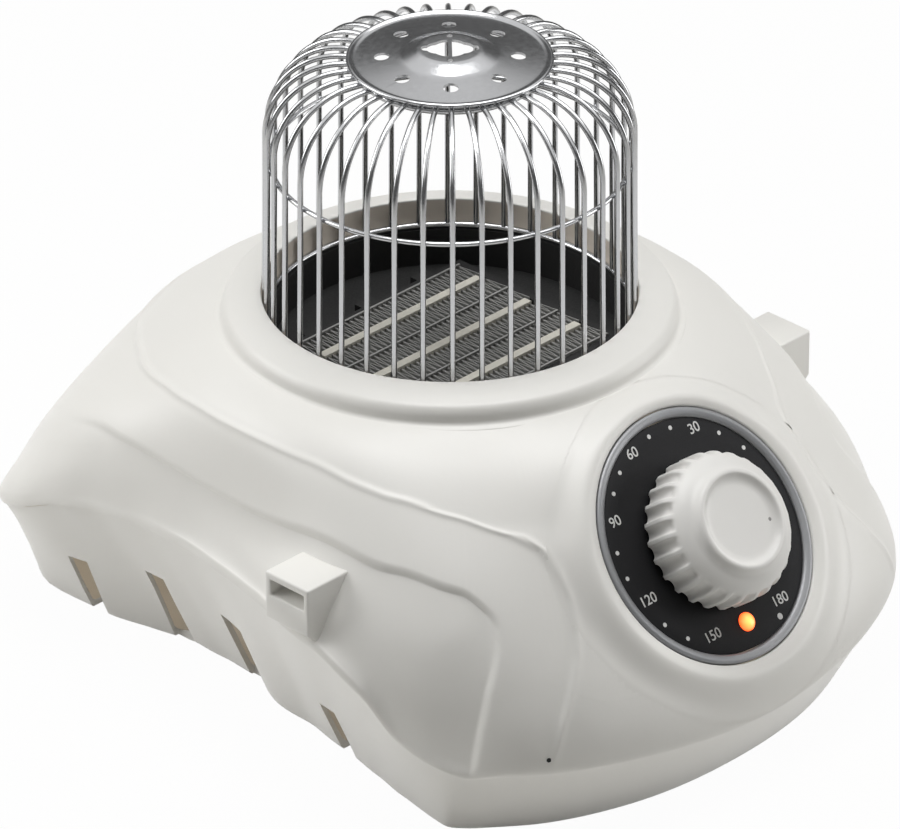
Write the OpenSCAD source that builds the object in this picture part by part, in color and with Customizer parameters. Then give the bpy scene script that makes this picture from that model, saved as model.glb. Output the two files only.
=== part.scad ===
// Heater base of a fabric clothes dryer: a blower and a finned heating element in a moulded
// two-shell body, with a wire guard over the warm air outlet and a timer dial on the front.
// The origin is on the floor under the axis of the air outlet. -Y is the dial side, +Z is up.

/* [Body shells] */
// Wall thickness of the two moulded shells
wall = 2.4; // [2:0.1:3]
// Height that the rubber feet lift the body
foot_height = 2; // [1.5:0.5:4]
// Distance from the outlet axis to the front rim
front_reach = 154.8; // [150:1:162]
// Distance from the outlet axis to the two front corners
corner_reach = 157; // [155:1:166]
// Distance from the outlet axis to the rear rim
rear_reach = 155.5; // [150:1:162]
// Half the width of the rim beside the lugs
flank_front = 123; // [118:1:128]
// Half the width of the rim beside the outlet
flank_mid = 112; // [108:1:116]
// Half the width of the rim towards the rear
flank_rear = 104.5; // [101:0.5:110]
// Height of the rim in the middle of the front
front_rim_height = 28.4; // [22:1:30]
// Height of the rim at the front corners
corner_rim_height = 31.9; // [31:1:38]
// Height of the arch in the rim over the flanks
arch_height = 66; // [60:1:70]
// Height of the rim in the middle of the rear
rear_rim_height = 34; // [30:1:40]
// Height of the foot of the collar, where the crown starts
crown_height = 126; // [122:1:128]
// Height of the convex shoulder beside the outlet
shoulder_height = 117; // [112:1:118]
// Gap in the parting line between the two shells
parting_gap = 0.25; // [0.2:0.05:0.5]

/* [Air outlet] */
// Radius of the lip round the outlet
outlet_r = 66; // [64:0.5:68]
// Height of the lip
lip_height = 135.6; // [134:0.2:138]

/* [Wire guard] */
// Number of upright wires
wire_count = 40; // [24:1:44]
// Diameter of an upright wire
wire_d = 2; // [1.6:0.1:2.2]
// Radius of the circle of upright wires
guard_r = 64.7; // [64.2:0.1:64.8]
// Height of the centre line of the wires under the cap
guard_top = 224; // [200:1:240]
// Bend radius of the wires at the shoulder of the guard
guard_bend = 22; // [14:1:28]
// Radius of the stamped cap
cap_r = 35; // [33:0.5:40]
// Thickness of the stamped cap
cap_t = 1; // [0.8:0.1:1.5]
// Height of the middle ring
mid_ring_height = 187; // [160:1:195]

/* [Dial] */
// Height of the middle of the dial
dial_height = 85.5; // [84:0.5:88]
// Distance from the outlet axis to the middle of the dial
dial_reach = 121.9; // [120:0.5:124]
// Angle of the dial face from upright
dial_tilt = 38; // [36:0.5:40]
// Radius of the printed dial plate
dial_r = 42; // [40:0.5:43]
// Radius of the knob over its flutes
knob_r = 27; // [22:0.5:29]
// Height of the knob over the dial plate
knob_height = 23; // [20:0.5:26]
// Number of flutes round the knob
flute_count = 26; // [18:1:32]
// Diameter of the timer shaft
timer_shaft_d = 6; // [5:0.5:8]
// Radial clearance of a turning shaft in its bush
running = 0.05; // [0.03:0.01:0.09]

/* [Heater] */
// Length of the finned heating element
heater_l = 84; // [76:1:88]
// Width of the finned heating element
heater_w = 73; // [66:1:76]
// Depth of the fins along the air stream
heater_h = 14; // [10:1:16]
// Height of the top of the fins
heater_top = 115; // [112:1:118]
// Distance between neighbouring folds of a fin strip
fin_pitch = 2.8; // [2.4:0.1:4]
// Thickness of the fin strip
fin_t = 0.4; // [0.3:0.05:0.6]

/* [Blower] */
// Radius of the impeller
impeller_r = 55; // [50:0.5:56.5]
// Number of impeller blades
blade_count = 7; // [5:1:9]
// Diameter of the motor shaft
motor_shaft_d = 5; // [4:0.5:6]
// Height of the stack of motor plates
stack_h = 16; // [12:1:18]

/* [Lugs and slots] */
// Distance from the middle to the outer face of a lug
lug_reach = 126.8; // [126:0.2:130]
// Width of a lug along the flank
lug_w = 20.5; // [18:0.5:24]
// Height of the flat top of a lug
lug_top = 89.8; // [88:0.2:91]
// Width of the pocket in a lug
pocket_w = 16; // [12:0.5:17]
// Height of the pocket in a lug
pocket_h = 5.8; // [5:0.2:7]
// Depth of the pocket in a lug
pocket_depth = 12; // [8:0.5:13]
// Width of an air slot in the flank
slot_w = 7.2; // [5:0.2:9]
// Radius of the hole through the cord gland
gland_bore_r = 3.6; // [3:0.1:4.5]

/* [Hidden] */

$fn = 64;
eps = 0.01;
seat = 0.2;

// Colours
shell_colour = [0.93, 0.925, 0.90];
duct_colour = [0.10, 0.10, 0.11];
steel_colour = [0.78, 0.79, 0.81];

// ---------------------------------------------------------------- shape of the body
// A direction round the body is an angle from the front, 0 at the dial and 180 at the rear.
// Each crease line is a short list of [angle, distance from the axis, height].

function mix(a, b, t) = a + (b - a) * t;
function fold(a) = a > 180 ? 360 - a : a;
function beside(half_width, a) = half_width / sin(a);
function place(r, a, z) = [-r * sin(a), -r * cos(a), z];

function knot(rows, a, i = 0) =
    i >= len(rows) - 2 || a < rows[i + 1][0] ? i : knot(rows, a, i + 1);
function secant(rows, i, c) = (rows[i + 1][c] - rows[i][c]) / (rows[i + 1][0] - rows[i][0]);
function slope(rows, i, c) =
    i == 0 || i == len(rows) - 1 ? 0 :
    let (p = secant(rows, i - 1, c), q = secant(rows, i, c))
    p * q <= 0 ? 0 : 2 * p * q / (p + q);
// Smooth curve through the rows, level at the first and the last
function along(rows, a, c) =
    let (
        i = knot(rows, a),
        h = rows[i + 1][0] - rows[i][0],
        t = (a - rows[i][0]) / h,
        bend = (1 - t) * slope(rows, i, c) - t * slope(rows, i + 1, c)
    )
    mix(rows[i][c], rows[i + 1][c], t * t * (3 - 2 * t)) + h * t * (1 - t) * bend;

collar_foot_r = outlet_r + 15;
climb = arch_height - corner_rim_height;

// Rim, where the cover meets the tub
rim_rows = [
    [0, front_reach, front_rim_height],
    [20, front_reach + 1.8, front_rim_height + 2.2],
    [33, corner_reach + 1, corner_rim_height - 0.2],
    [39, corner_reach, corner_rim_height],
    [44, corner_reach - 2.7, corner_rim_height - 1.8],
    [48.6, corner_reach - 6.7, corner_rim_height + 1.2],
    [53, beside(0.947 * flank_front, 53), corner_rim_height + 0.21 * climb],
    [58.6, beside(0.988 * flank_front, 58.6), corner_rim_height + 0.66 * climb],
    [67.5, beside(flank_front, 67.5), corner_rim_height + 0.967 * climb],
    [80.5, beside(mix(flank_front, flank_mid, 0.6), 80.5), arch_height + 0.3],
    [90, flank_mid, arch_height],
    [100, beside(mix(flank_mid, flank_rear, 0.53), 100), arch_height - 0.9],
    [112, beside(mix(flank_mid, flank_rear, 0.9), 112), arch_height - 2.6],
    [123.7, beside(flank_rear, 123.7), arch_height - 5.9],
    [131, beside(flank_rear + 1.5, 131), arch_height - 11.3],
    [137, beside(flank_rear + 0.4, 137), mix(rear_rim_height, arch_height, 0.353)],
    [142, rear_reach + 4.9, mix(rear_rim_height, arch_height, 0.178)],
    [147, rear_reach + 5.7, rear_rim_height + 0.5],
    [160, rear_reach + 0.3, rear_rim_height + 0.4],
    [180, rear_reach, rear_rim_height]
];

// Convex shoulder of the crown
shoulder_rows = [
    [0, outlet_r + 42, shoulder_height + 1],
    [14, outlet_r + 44, shoulder_height - 3],
    [24, outlet_r + 46.3, shoulder_height - 8.4],
    [32, outlet_r + 47.8, shoulder_height - 14.4],
    [40, outlet_r + 45.2, shoulder_height - 12.3],
    [48, outlet_r + 42, shoulder_height - 8.5],
    [56, outlet_r + 39.6, shoulder_height - 5.4],
    [62.5, outlet_r + 37.9, shoulder_height - 2.6],
    [75, outlet_r + 34.1, shoulder_height + 0.2],
    [90, outlet_r + 31.7, shoulder_height + 1.4],
    [105, outlet_r + 31.6, shoulder_height - 0.1],
    [117, outlet_r + 34.8, shoulder_height - 2.3],
    [126, outlet_r + 38.9, shoulder_height - 5.3],
    [136, outlet_r + 41.7, shoulder_height - 9.2],
    [146, outlet_r + 45.7, shoulder_height - 12.3],
    [158, outlet_r + 50.2, shoulder_height - 14.2],
    [180, outlet_r + 52.8, shoulder_height - 14.6]
];

// Hip line: [angle, share of the way out, share of the way down from shoulder to rim]
hip_rows = [
    [0, 0.81, 0.66], [24, 0.75, 0.59], [33, 0.63, 0.43], [38.5, 0.585, 0.328], [44, 0.525, 0.217],
    [50, 0.48, 0.235], [62, 0.446, 0.355], [75, 0.47, 0.445], [90, 0.5, 0.49], [101, 0.6, 0.494],
    [112, 0.8, 0.463], [121, 0.845, 0.411], [128, 0.787, 0.378], [136, 0.688, 0.387],
    [146, 0.546, 0.373], [160, 0.489, 0.334], [180, 0.47, 0.33]
];

// Fullness of the panel between hip and rim, and draft of the tub wall below the rim
panel_rows = [[0, 2.5], [46, 5.5], [75, 0.8], [100, 0.35], [137, 2.7], [180, 2.7]];
draft_rows = [
    [0, 0.636], [20, 0.573], [36, 0.534], [40, 0.508], [44, 0.459], [46, 0.42], [48, 0.494],
    [50, 0.572], [53, 0.622], [56, 0.61], [66, 0.568], [76, 0.506], [90, 0.415], [104, 0.478],
    [117, 0.52], [127, 0.62], [139, 0.7], [145, 0.44], [152, 0.214], [180, 0.2]
];

half_stations = [
    0, 6, 12, 18, 24, 29, 33, 37, 40, 43, 46, 48, 50, 53, 56, 60, 66, 73, 80, 90, 100, 108,
    115, 121, 127, 131, 135, 138, 141, 144, 148, 154, 160, 167, 174, 180
];
stations = concat(
    half_stations,
    [for (i = [len(half_stations) - 2:-1:1]) 360 - half_stations[i]]
);

rim_roll = 1;
rim_roll_h = 5;
crown_fullness = 0.085;

function rim_at(a) = [along(rim_rows, a, 1), along(rim_rows, a, 2)];
function shoulder_at(a) = [along(shoulder_rows, a, 1), along(shoulder_rows, a, 2)];

// Outer profile of the cover at one angle, as [distance, height] from the collar to the rim
function cover_profile(angle) =
    let (
        a = fold(angle),
        foot = [collar_foot_r, crown_height + 0.3],
        shoulder = shoulder_at(a),
        rim = rim_at(a),
        hip = [
            mix(shoulder[0], rim[0], along(hip_rows, a, 1)),
            mix(shoulder[1], rim[1], along(hip_rows, a, 2))
        ],
        lift = [0, crown_fullness * (shoulder[0] - foot[0])],
        full = along(panel_rows, a, 1) * [0.9, 0.45]
    )
    [
        foot,
        mix(foot, shoulder, 1 / 3) + 0.9 * lift,
        mix(foot, shoulder, 2 / 3) + 0.9 * lift,
        shoulder,
        mix(shoulder, hip, 0.5) + [0.4, 0.4],
        hip,
        mix(hip, rim, 0.5) + full,
        rim + [rim_roll, rim_roll_h],
        rim
    ];

// The same profile moved in by a distance, square to itself
function inset_profile(p, t) = [
    for (i = [0:len(p) - 1])
        let (
            before = p[max(i - 1, 0)],
            after = p[min(i + 1, len(p) - 1)],
            run = after - before
        )
        i == 0 ? p[0] - [0, t] :
        i == len(p) - 1 ? p[i] - [t, 0] :
        p[i] - t * [-run[1], run[0]] / norm(run)
];

function tub_profile(angle) =
    let (
        a = fold(angle),
        rim = rim_at(a),
        top = [rim[0] - rim_roll - 0.3, rim[1] - parting_gap],
        foot = [rim[0] - along(draft_rows, a, 1) * (rim[1] - foot_height), foot_height]
    )
    [top, mix(top, foot, 0.5), foot];

function tub_floor_r(angle) = tub_profile(angle)[2][0];

// A closed ring of wall: loops[j] is the closed outline of the wall at stations[j]
module ring_shell(loops) {
    m = len(loops[0]);
    n = len(loops);
    points = [for (j = [0:n - 1]) for (p = loops[j]) place(p[0], stations[j], p[1])];
    faces = [
        for (j = [0:n - 1])
            for (i = [0:m - 1])
                let (
                    a = j * m + i,
                    b = j * m + (i + 1) % m,
                    c = ((j + 1) % n) * m + (i + 1) % m,
                    d = ((j + 1) % n) * m + i
                )
                each [[a, b, c], [a, c, d]]
    ];
    polyhedron(points = points, faces = faces, convexity = 8);
}

function reversed(list) = [for (i = [len(list) - 1:-1:0]) list[i]];
function loops_of(outer, inner) = concat(outer, reversed(inner));

// Height of the inside of the cover over a point of the floor plan
function cover_ceiling(r, angle) =
    lookup(r, [for (p = inset_profile(cover_profile(angle), wall)) [p[0], p[1]]]);

// ---------------------------------------------------------------- dial frame
dial_plate_t = 2;
pan_t = 2.6;
bezel_w = 3.5;
bezel_fit = 0.2;
boss_in_r = dial_r + bezel_w + 2 * bezel_fit;
boss_r = boss_in_r + 10.2;
boss_depth = 15;
pan_back = -dial_plate_t - pan_t;
lamp_offset = 33;
lamp_r = 3.3;

// Puts its children on the dial: Z is the dial's axis, pointing out, and Y points up its face
module on_dial() {
    translate([0, -dial_reach, dial_height]) rotate([90 - dial_tilt, 0, 0]) children();
}

// ---------------------------------------------------------------- top cover
post_angle = 36;
post_reach = 112;
post_r = 4.5;
post_foot = 30;
screw_r = 1.6;
pilot_r = 1.45;
duct_boss_reach = outlet_r + 6.5;
shelf_t = wall + 0.4;
duct_flange_top = crown_height - shelf_t;
collar_foot_z = duct_flange_top + 0.6;
shelf_r = outlet_r + 10.5;
duct_screw_r = 1.3;

module four_corners(reach, angle) {
    for (a = [angle, 180 - angle, 180 + angle, 360 - angle])
        translate(place(reach, a, 0)) children();
}

module cover_skin() {
    ring_shell([
        for (a = stations)
            let (p = cover_profile(a))
            loops_of(p, inset_profile(p, wall))
    ]);
}

// Flat shelf round the opening of the cover: the collar sits on it and the duct hangs below
module collar_shelf() {
    translate([0, 0, crown_height - shelf_t])
        difference() {
            cylinder(r = collar_foot_r + 0.6, h = shelf_t, $fn = 96);
            translate([0, 0, -1]) cylinder(r = shelf_r, h = shelf_t + 2, $fn = 96);
        }
}

// Hollow collar round the outlet: an inner wall, a sloping top and a rounded outer step,
// with four screw bosses under it
module outlet_collar() {
    color(shell_colour)
        difference() {
            union() {
                rotate_extrude($fn = 96)
                    polygon([
                        [outlet_r, collar_foot_z], [outlet_r, lip_height - 0.7],
                        [outlet_r + 0.7, lip_height], [outlet_r + 2.5, lip_height - 0.1],
                        [outlet_r + 7, lip_height - 1.2], [outlet_r + 11.3, lip_height - 3],
                        [outlet_r + 12.6, lip_height - 4], [outlet_r + 13.4, lip_height - 5.4],
                        [collar_foot_r - 0.8, crown_height + 2.4],
                        [collar_foot_r - 0.8, crown_height], [collar_foot_r - 3, crown_height],
                        [outlet_r + 10.6, lip_height - 6], [outlet_r + 5, lip_height - 3.8],
                        [outlet_r + wall, lip_height - 4.2], [outlet_r + wall, collar_foot_z]
                    ]);
                for (a = [45:90:315])
                    translate(place(duct_boss_reach, a, duct_flange_top))
                        cylinder(r = 3.2, h = lip_height - 4.2 - duct_flange_top, $fn = 32);
            }
            for (a = [45:90:315])
                translate(place(duct_boss_reach, a, duct_flange_top - eps))
                    cylinder(r = duct_screw_r - 0.15, h = 6.6, $fn = 24);
        }
}

// Rounded bead round the dial, still solid; the recess and the back are cut from it later
module dial_bead() {
    on_dial()
        rotate_extrude($fn = 96)
            polygon([
                [0, -boss_depth], [boss_r - 1, -boss_depth], [boss_r, -7], [boss_r - 0.6, -3.6],
                [boss_r - 2, -0.8], [boss_r - 4.2, 1], [boss_r - 6.6, 1.6], [boss_in_r + 0.8, 1.4],
                [boss_in_r, 0.8], [0, 0.8]
            ]);
}

module dial_recess() {
    on_dial() {
        translate([0, 0, -dial_plate_t]) cylinder(r = boss_in_r, h = 30, $fn = 96);
        rotate_extrude($fn = 96)
            polygon([
                [0, 1], [boss_in_r + 3, 1.7], [boss_in_r + 6, 4], [boss_in_r + 8, 8],
                [boss_in_r + 8, 30], [0, 30]
            ]);
        translate([0, 0, pan_back - eps]) cylinder(r = 5.3, h = 4, $fn = 48);
        translate([0, -lamp_offset, pan_back - eps]) cylinder(r = lamp_r + 0.5, h = 4, $fn = 32);
    }
}

module dial_back() {
    on_dial()
        translate([0, 0, pan_back - 40]) cylinder(r = boss_r - 4.5, h = 40, $fn = 96);
}

lug_mid = -45.8;
lug_face_h = 18;

// One lug on the left flank: a box with a level top whose sides run back into the panel
module lug() {
    translate([0, lug_mid + lug_w / 2, 0])
        rotate([90, 0, 0])
            linear_extrude(lug_w)
                polygon([
                    [-lug_reach, lug_top], [-lug_reach, lug_top - lug_face_h],
                    [-lug_reach + 6, lug_top - lug_face_h - 5], [-105.5, lug_top - 4.5],
                    [-105.5, lug_top]
                ]);
}

module lug_pocket() {
    translate([-lug_reach - eps, lug_mid - pocket_w / 2, lug_top - 2.9 - pocket_h])
        cube([pocket_depth, pocket_w, pocket_h]);
}

module both_sides() {
    children();
    mirror([1, 0, 0]) children();
}

// The posts run up into the sloping wall without coming through it
function post_top(a) =
    min([for (step = [-2:2:2]) cover_ceiling(post_reach + post_r, a + step)]) + 1;

module cover_posts() {
    for (a = [post_angle, 180 - post_angle])
        both_sides()
            translate(place(post_reach, a, post_foot))
                cylinder(r = post_r, h = post_top(a) - post_foot, $fn = 32);
}

module cover_pilots() {
    four_corners(post_reach, post_angle)
        translate([0, 0, post_foot - eps]) cylinder(r = pilot_r, h = 22, $fn = 24);
}

module top_cover() {
    color(shell_colour)
        difference() {
            union() {
                cover_skin();
                collar_shelf();
                dial_bead();
                cover_posts();
            }
            dial_recess();
            dial_back();
            cover_pilots();
        }
}

// Everything inside the outer face of the cover, down to a line near the outlet's axis
module cover_core() {
    ring_shell([
        for (a = stations)
            let (p = cover_profile(a))
            concat(p, [[40, p[8][1]], [40, p[0][1]]])
    ]);
}

// The two lugs seat on the outer face of the cover
module frame_lugs() {
    color(shell_colour)
        difference() {
            both_sides()
                difference() {
                    lug();
                    lug_pocket();
                }
            cover_core();
        }
}

// ---------------------------------------------------------------- base tub
slot_middles = [92, 56, 16, -40];
slot_heights = [26, 33, 31, 24];
intake_r = 58;
grille_r = 64;
grille_t = 2.4;
floor_top = foot_height + wall;
foot_r = 8;
foot_spots = [[-80, -76], [80, -76], [-44, 112], [44, 112]];
gland_z = 20;
gland_r = 6.2;
gland_boss_r = 11;
gland_out = rear_reach - 0.5;
grille_hole_reach = 61;

module tub_wall() {
    ring_shell([
        for (a = stations)
            let (p = tub_profile(a))
            loops_of(p, [for (q = p) q - [wall, 0]])
    ]);
}

module tub_floor() {
    translate([0, 0, foot_height])
        linear_extrude(wall)
            polygon([
                for (a = stations)
                    let (p = place(tub_floor_r(a) - 0.4, a, 0))
                    [p[0], p[1]]
            ]);
}

module air_slots() {
    for (i = [0:len(slot_middles) - 1])
        translate([-flank_front - 5, slot_middles[i] - slot_w / 2, -eps])
            cube([flank_front + 5 - 76, slot_w, slot_heights[i] + foot_height]);
}

module base_tub() {
    color(shell_colour)
        difference() {
            union() {
                tub_wall();
                tub_floor();
                four_corners(post_reach, post_angle)
                    translate([0, 0, foot_height])
                        cylinder(r = post_r + 0.5, h = post_foot - foot_height - seat, $fn = 32);
                translate([0, gland_out, gland_z])
                    rotate([90, 0, 0]) cylinder(r = gland_boss_r, h = 10, $fn = 48);
            }
            both_sides() air_slots();
            translate([0, 0, -eps]) cylinder(r = intake_r, h = 20, $fn = 96);
            four_corners(post_reach, post_angle) {
                translate([0, 0, -eps]) cylinder(r = screw_r + 0.2, h = 40, $fn = 32);
                translate([0, 0, -eps]) cylinder(r = 3.9, h = foot_height + 9, $fn = 32);
            }
            for (p = foot_spots)
                translate([p[0], p[1], 0]) cylinder(r = 3, h = 20, $fn = 32);
            for (a = [45:90:315])
                translate(place(grille_hole_reach, a, 0)) cylinder(r = 1.2, h = 20, $fn = 24);
            translate([0, gland_out + 5, gland_z])
                rotate([90, 0, 0]) cylinder(r = gland_r, h = 20, $fn = 48);
        }
}

module rubber_feet() {
    color([0.16, 0.16, 0.16])
        for (p = foot_spots)
            translate([p[0], p[1], 0]) {
                cylinder(r = foot_r, h = foot_height, $fn = 48);
                cylinder(r = 3, h = floor_top, $fn = 32);
                translate([0, 0, floor_top]) cylinder(r = 4.2, h = 1.4, $fn = 32);
            }
}

// Round grille over the intake: concentric bars joined by six spokes
module intake_grille() {
    color(shell_colour)
        translate([0, 0, floor_top])
            difference() {
                cylinder(r = grille_r, h = grille_t, $fn = 96);
                difference() {
                    for (r = [10:7.5:48])
                        rotate_extrude($fn = 72) translate([r, -1]) square([4.5, grille_t + 2]);
                    for (a = [0:60:300])
                        rotate([0, 0, a]) translate([0, -2, -2]) cube([60, 4, grille_t + 4]);
                }
                for (a = [45:90:315])
                    translate(place(grille_hole_reach, a, -1)) cylinder(r = 1.7, h = 5, $fn = 24);
            }
}

// Pan-head screw standing on its head: the origin is under the head, the shank points up
module screw(r, l, head_r, head_h) {
    cylinder(r = r, h = l, $fn = 24);
    translate([0, 0, -head_h])
        difference() {
            cylinder(r = head_r, h = head_h, $fn = 32);
            translate([-head_r * 0.7, -0.4, -eps]) cube([head_r * 1.4, 0.8, head_h * 0.45]);
        }
}

module cover_screws() {
    color(steel_colour)
        four_corners(post_reach, post_angle)
            translate([0, 0, foot_height + 9])
                screw(screw_r, post_foot + 10 - foot_height, 3.5, 2.2);
}

module grille_screws() {
    color(steel_colour)
        for (a = [45:90:315])
            translate(place(grille_hole_reach, a, floor_top + grille_t))
                rotate([180, 0, 0]) screw(1.3, grille_t + wall - 0.4, 2.6, 1.6);
}

module cord_gland() {
    lip = 1.8;
    color([0.13, 0.13, 0.13])
        translate([0, gland_out, gland_z])
            rotate([-90, 0, 0])
                rotate_extrude($fn = 64)
                    polygon([
                        [gland_bore_r, -10 - lip], [gland_r + 1.6, -10 - lip],
                        [gland_r + 1.6, -10 - seat / 2], [gland_r - 0.1, -10 - seat / 2],
                        [gland_r - 0.1, 0], [gland_r + 2.4, 0], [gland_r + 2.4, lip * 0.6],
                        [gland_r + 1.6, lip], [gland_bore_r, lip]
                    ]);
}

// ---------------------------------------------------------------- wire guard
ring_d = 2.4;
mid_ring_d = 1.8;
top_ring_r = 31.5;
duct_top = 124.6;
guard_foot = duct_top + ring_d - 0.15;
weld = 0.15;

module wire() {
    straight_h = guard_top - guard_bend - guard_foot;
    reach_in = guard_r - guard_bend - top_ring_r + 1.5;
    translate([guard_r, 0, guard_foot]) cylinder(d = wire_d, h = straight_h, $fn = 20);
    translate([guard_r - guard_bend, 0, guard_top - guard_bend])
        rotate([90, 0, 0])
            rotate_extrude(angle = 90, $fn = 48)
                translate([guard_bend, 0]) circle(d = wire_d, $fn = 20);
    translate([guard_r - guard_bend, 0, guard_top])
        rotate([0, -90, 0]) cylinder(d = wire_d, h = reach_in, $fn = 20);
}

module guard_wires() {
    color(steel_colour)
        for (i = [0:wire_count - 1])
            rotate([0, 0, i * 360 / wire_count]) wire();
}

module round_ring(r, d, z) {
    translate([0, 0, z])
        rotate_extrude($fn = 96) translate([r, 0]) circle(d = d, $fn = 24);
}

module guard_base_ring() {
    color(steel_colour) round_ring(guard_r, ring_d, duct_top + ring_d / 2);
}

module guard_mid_ring() {
    color(steel_colour)
        round_ring(guard_r - (wire_d + mid_ring_d) / 2 + weld, mid_ring_d, mid_ring_height);
}

module guard_top_ring() {
    color(steel_colour)
        round_ring(top_ring_r, ring_d, guard_top - (wire_d + ring_d) / 2 + weld);
}

cap_under = guard_top + wire_d / 2 - weld / 2;
cap_hole_r = 2.7;
cap_hole_reach = 23.5;
cap_boss_h = 4;

// Lobes in a row on a diagonal, parted by a bar that stays, and a notch at each end of the bar
module cap_opening() {
    rotate([0, 0, -45]) {
        difference() {
            union() {
                cylinder(r = 6.4, h = 10, $fn = 48);
                for (x = [-1, 1]) {
                    translate([x * 4.2, 0, 0]) cylinder(r = 4.2, h = 10, $fn = 48);
                    translate([x * 8.2, 0, 0]) cylinder(r = 1.9, h = 10, $fn = 32);
                }
            }
            translate([-0.7, -10, -1]) cube([1.4, 20, 12]);
        }
        for (y = [-1, 1])
            translate([0, y * 9.2, 0]) cylinder(r = 1.1, h = 10, $fn = 24);
    }
}

// Stamped cap: a flat ring with a rolled edge and a raised boss
module guard_cap() {
    color(steel_colour)
        translate([0, 0, cap_under])
            difference() {
                union() {
                    rotate_extrude($fn = 96)
                        polygon([
                            [0, cap_boss_h], [11.3, cap_boss_h], [17.7, 0], [cap_r, 0],
                            [cap_r, cap_t], [18.1, cap_t], [11.8, cap_boss_h + cap_t],
                            [0, cap_boss_h + cap_t]
                        ]);
                    rotate_extrude($fn = 96)
                        translate([cap_r, 0.9]) circle(r = 0.9, $fn = 20);
                }
                for (a = [0:45:315])
                    rotate([0, 0, a])
                        translate([cap_hole_reach, 0, -1]) cylinder(r = cap_hole_r, h = 4, $fn = 32);
                translate([0, 0, cap_boss_h - 1]) cap_opening();
            }
}

// ---------------------------------------------------------------- duct
duct_r = outlet_r - 0.4;
duct_t = 2.4;
deck_z = 108;
deck_t = 2.4;
frame_l = heater_l + 7;
frame_w = heater_w + 6;
throat_h = heater_top - heater_h - 9;
shroud_r = impeller_r + 3;
shroud_foot = 45;
spider_t = 4;
flange_r = duct_boss_reach + 8;

module duct_tube(r_in, r_out, z0, z1) {
    translate([0, 0, z0])
        difference() {
            cylinder(r = r_out, h = z1 - z0, $fn = 96);
            translate([0, 0, -1]) cylinder(r = r_in, h = z1 - z0 + 2, $fn = 96);
        }
}

module frame_hole(grow, z0, z1) {
    translate([-frame_l / 2 - grow, -frame_w / 2 - grow, z0])
        cube([frame_l + 2 * grow, frame_w + 2 * grow, z1 - z0]);
}

// Black duct: a round cup under the outlet, a square throat round the heater, the fan shroud
// and the four-armed bracket that carries the motor
module air_duct() {
    color(duct_colour) {
        difference() {
            union() {
                duct_tube(duct_r - duct_t, duct_r, deck_z, duct_top);
                translate([0, 0, deck_z]) cylinder(r = duct_r, h = deck_t, $fn = 96);
                translate([0, 0, duct_flange_top - 2.4]) duct_tube(duct_r - 1, duct_r + 2, 0, 2.4);
                for (a = [45:90:315])
                    rotate([0, 0, a])
                        translate([duct_r - 1, -5, duct_flange_top - 2.4])
                            cube([flange_r - duct_r, 10, 2.4]);
                frame_hole(duct_t, throat_h, deck_z + deck_t);
                duct_tube(shroud_r, shroud_r + duct_t, shroud_foot, throat_h + deck_t);
                translate([0, 0, throat_h]) cylinder(r = shroud_r + duct_t, h = deck_t, $fn = 96);
            }
            frame_hole(bezel_fit, throat_h - 1, heater_top + 20);
            for (a = [45:90:315])
                translate(place(duct_boss_reach, a, duct_flange_top - 5))
                    cylinder(r = duct_screw_r + 0.2, h = 10, $fn = 24);
        }
        difference() {
            union() {
                translate([0, 0, shroud_foot]) cylinder(r = 31, h = spider_t, $fn = 64);
                for (a = [0:90:270])
                    rotate([0, 0, a + 45])
                        translate([20, -4, shroud_foot])
                            cube([shroud_r - 20 + 1, 8, spider_t]);
            }
            translate([0, 0, shroud_foot - 1]) cylinder(r = 9, h = spider_t + 2, $fn = 48);
            for (x = [-1, 1])
                translate([x * motor_screw_x, 0, shroud_foot - 1])
                    cylinder(r = motor_screw_r + 0.2, h = spider_t + 2, $fn = 24);
        }
    }
}

module duct_screws() {
    color(steel_colour)
        for (a = [45:90:315])
            translate(place(duct_boss_reach, a, duct_flange_top - 2.4))
                screw(duct_screw_r, 8.4, 2.7, 1.6);
}

// ---------------------------------------------------------------- heating element
frame_foot = heater_top - heater_h;
frame_h = heater_h - 1;
plate_t = 0.8;
bar_t = 3.2;
bar_l = heater_l - 5;
row_w = (heater_w - 4 * plate_t) / 3;
strip_w = (row_w - bar_t) / 2;
fold_count = floor(heater_l / fin_pitch);

function row_start(i) = -heater_w / 2 + plate_t + i * (row_w + plate_t);

// One folded fin strip, running along X, with its folds touching both neighbours
module fin_strip() {
    swing = strip_w - 2 * fin_t;
    lower = [for (i = [0:fold_count]) [i * fin_pitch, i % 2 * swing]];
    upper = [for (i = [fold_count:-1:0]) [i * fin_pitch, i % 2 * swing + 2 * fin_t]];
    linear_extrude(heater_h) polygon(concat(lower, upper));
}

module heater_fins() {
    color([0.72, 0.73, 0.74])
        for (i = [0:2])
            for (y = [row_start(i), row_start(i) + strip_w + bar_t])
                translate([-fold_count * fin_pitch / 2, y, frame_foot]) fin_strip();
}

module heater_bars() {
    color([0.86, 0.83, 0.72])
        for (i = [0:2])
            translate([-bar_l / 2, row_start(i) + strip_w, frame_foot])
                cube([bar_l, bar_t, heater_h + 0.4]);
}

module heater_plates() {
    color([0.66, 0.67, 0.69])
        for (i = [0:3])
            translate([-heater_l / 2, -heater_w / 2 + i * (row_w + plate_t), frame_foot])
                cube([heater_l, plate_t, heater_h]);
}

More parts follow.
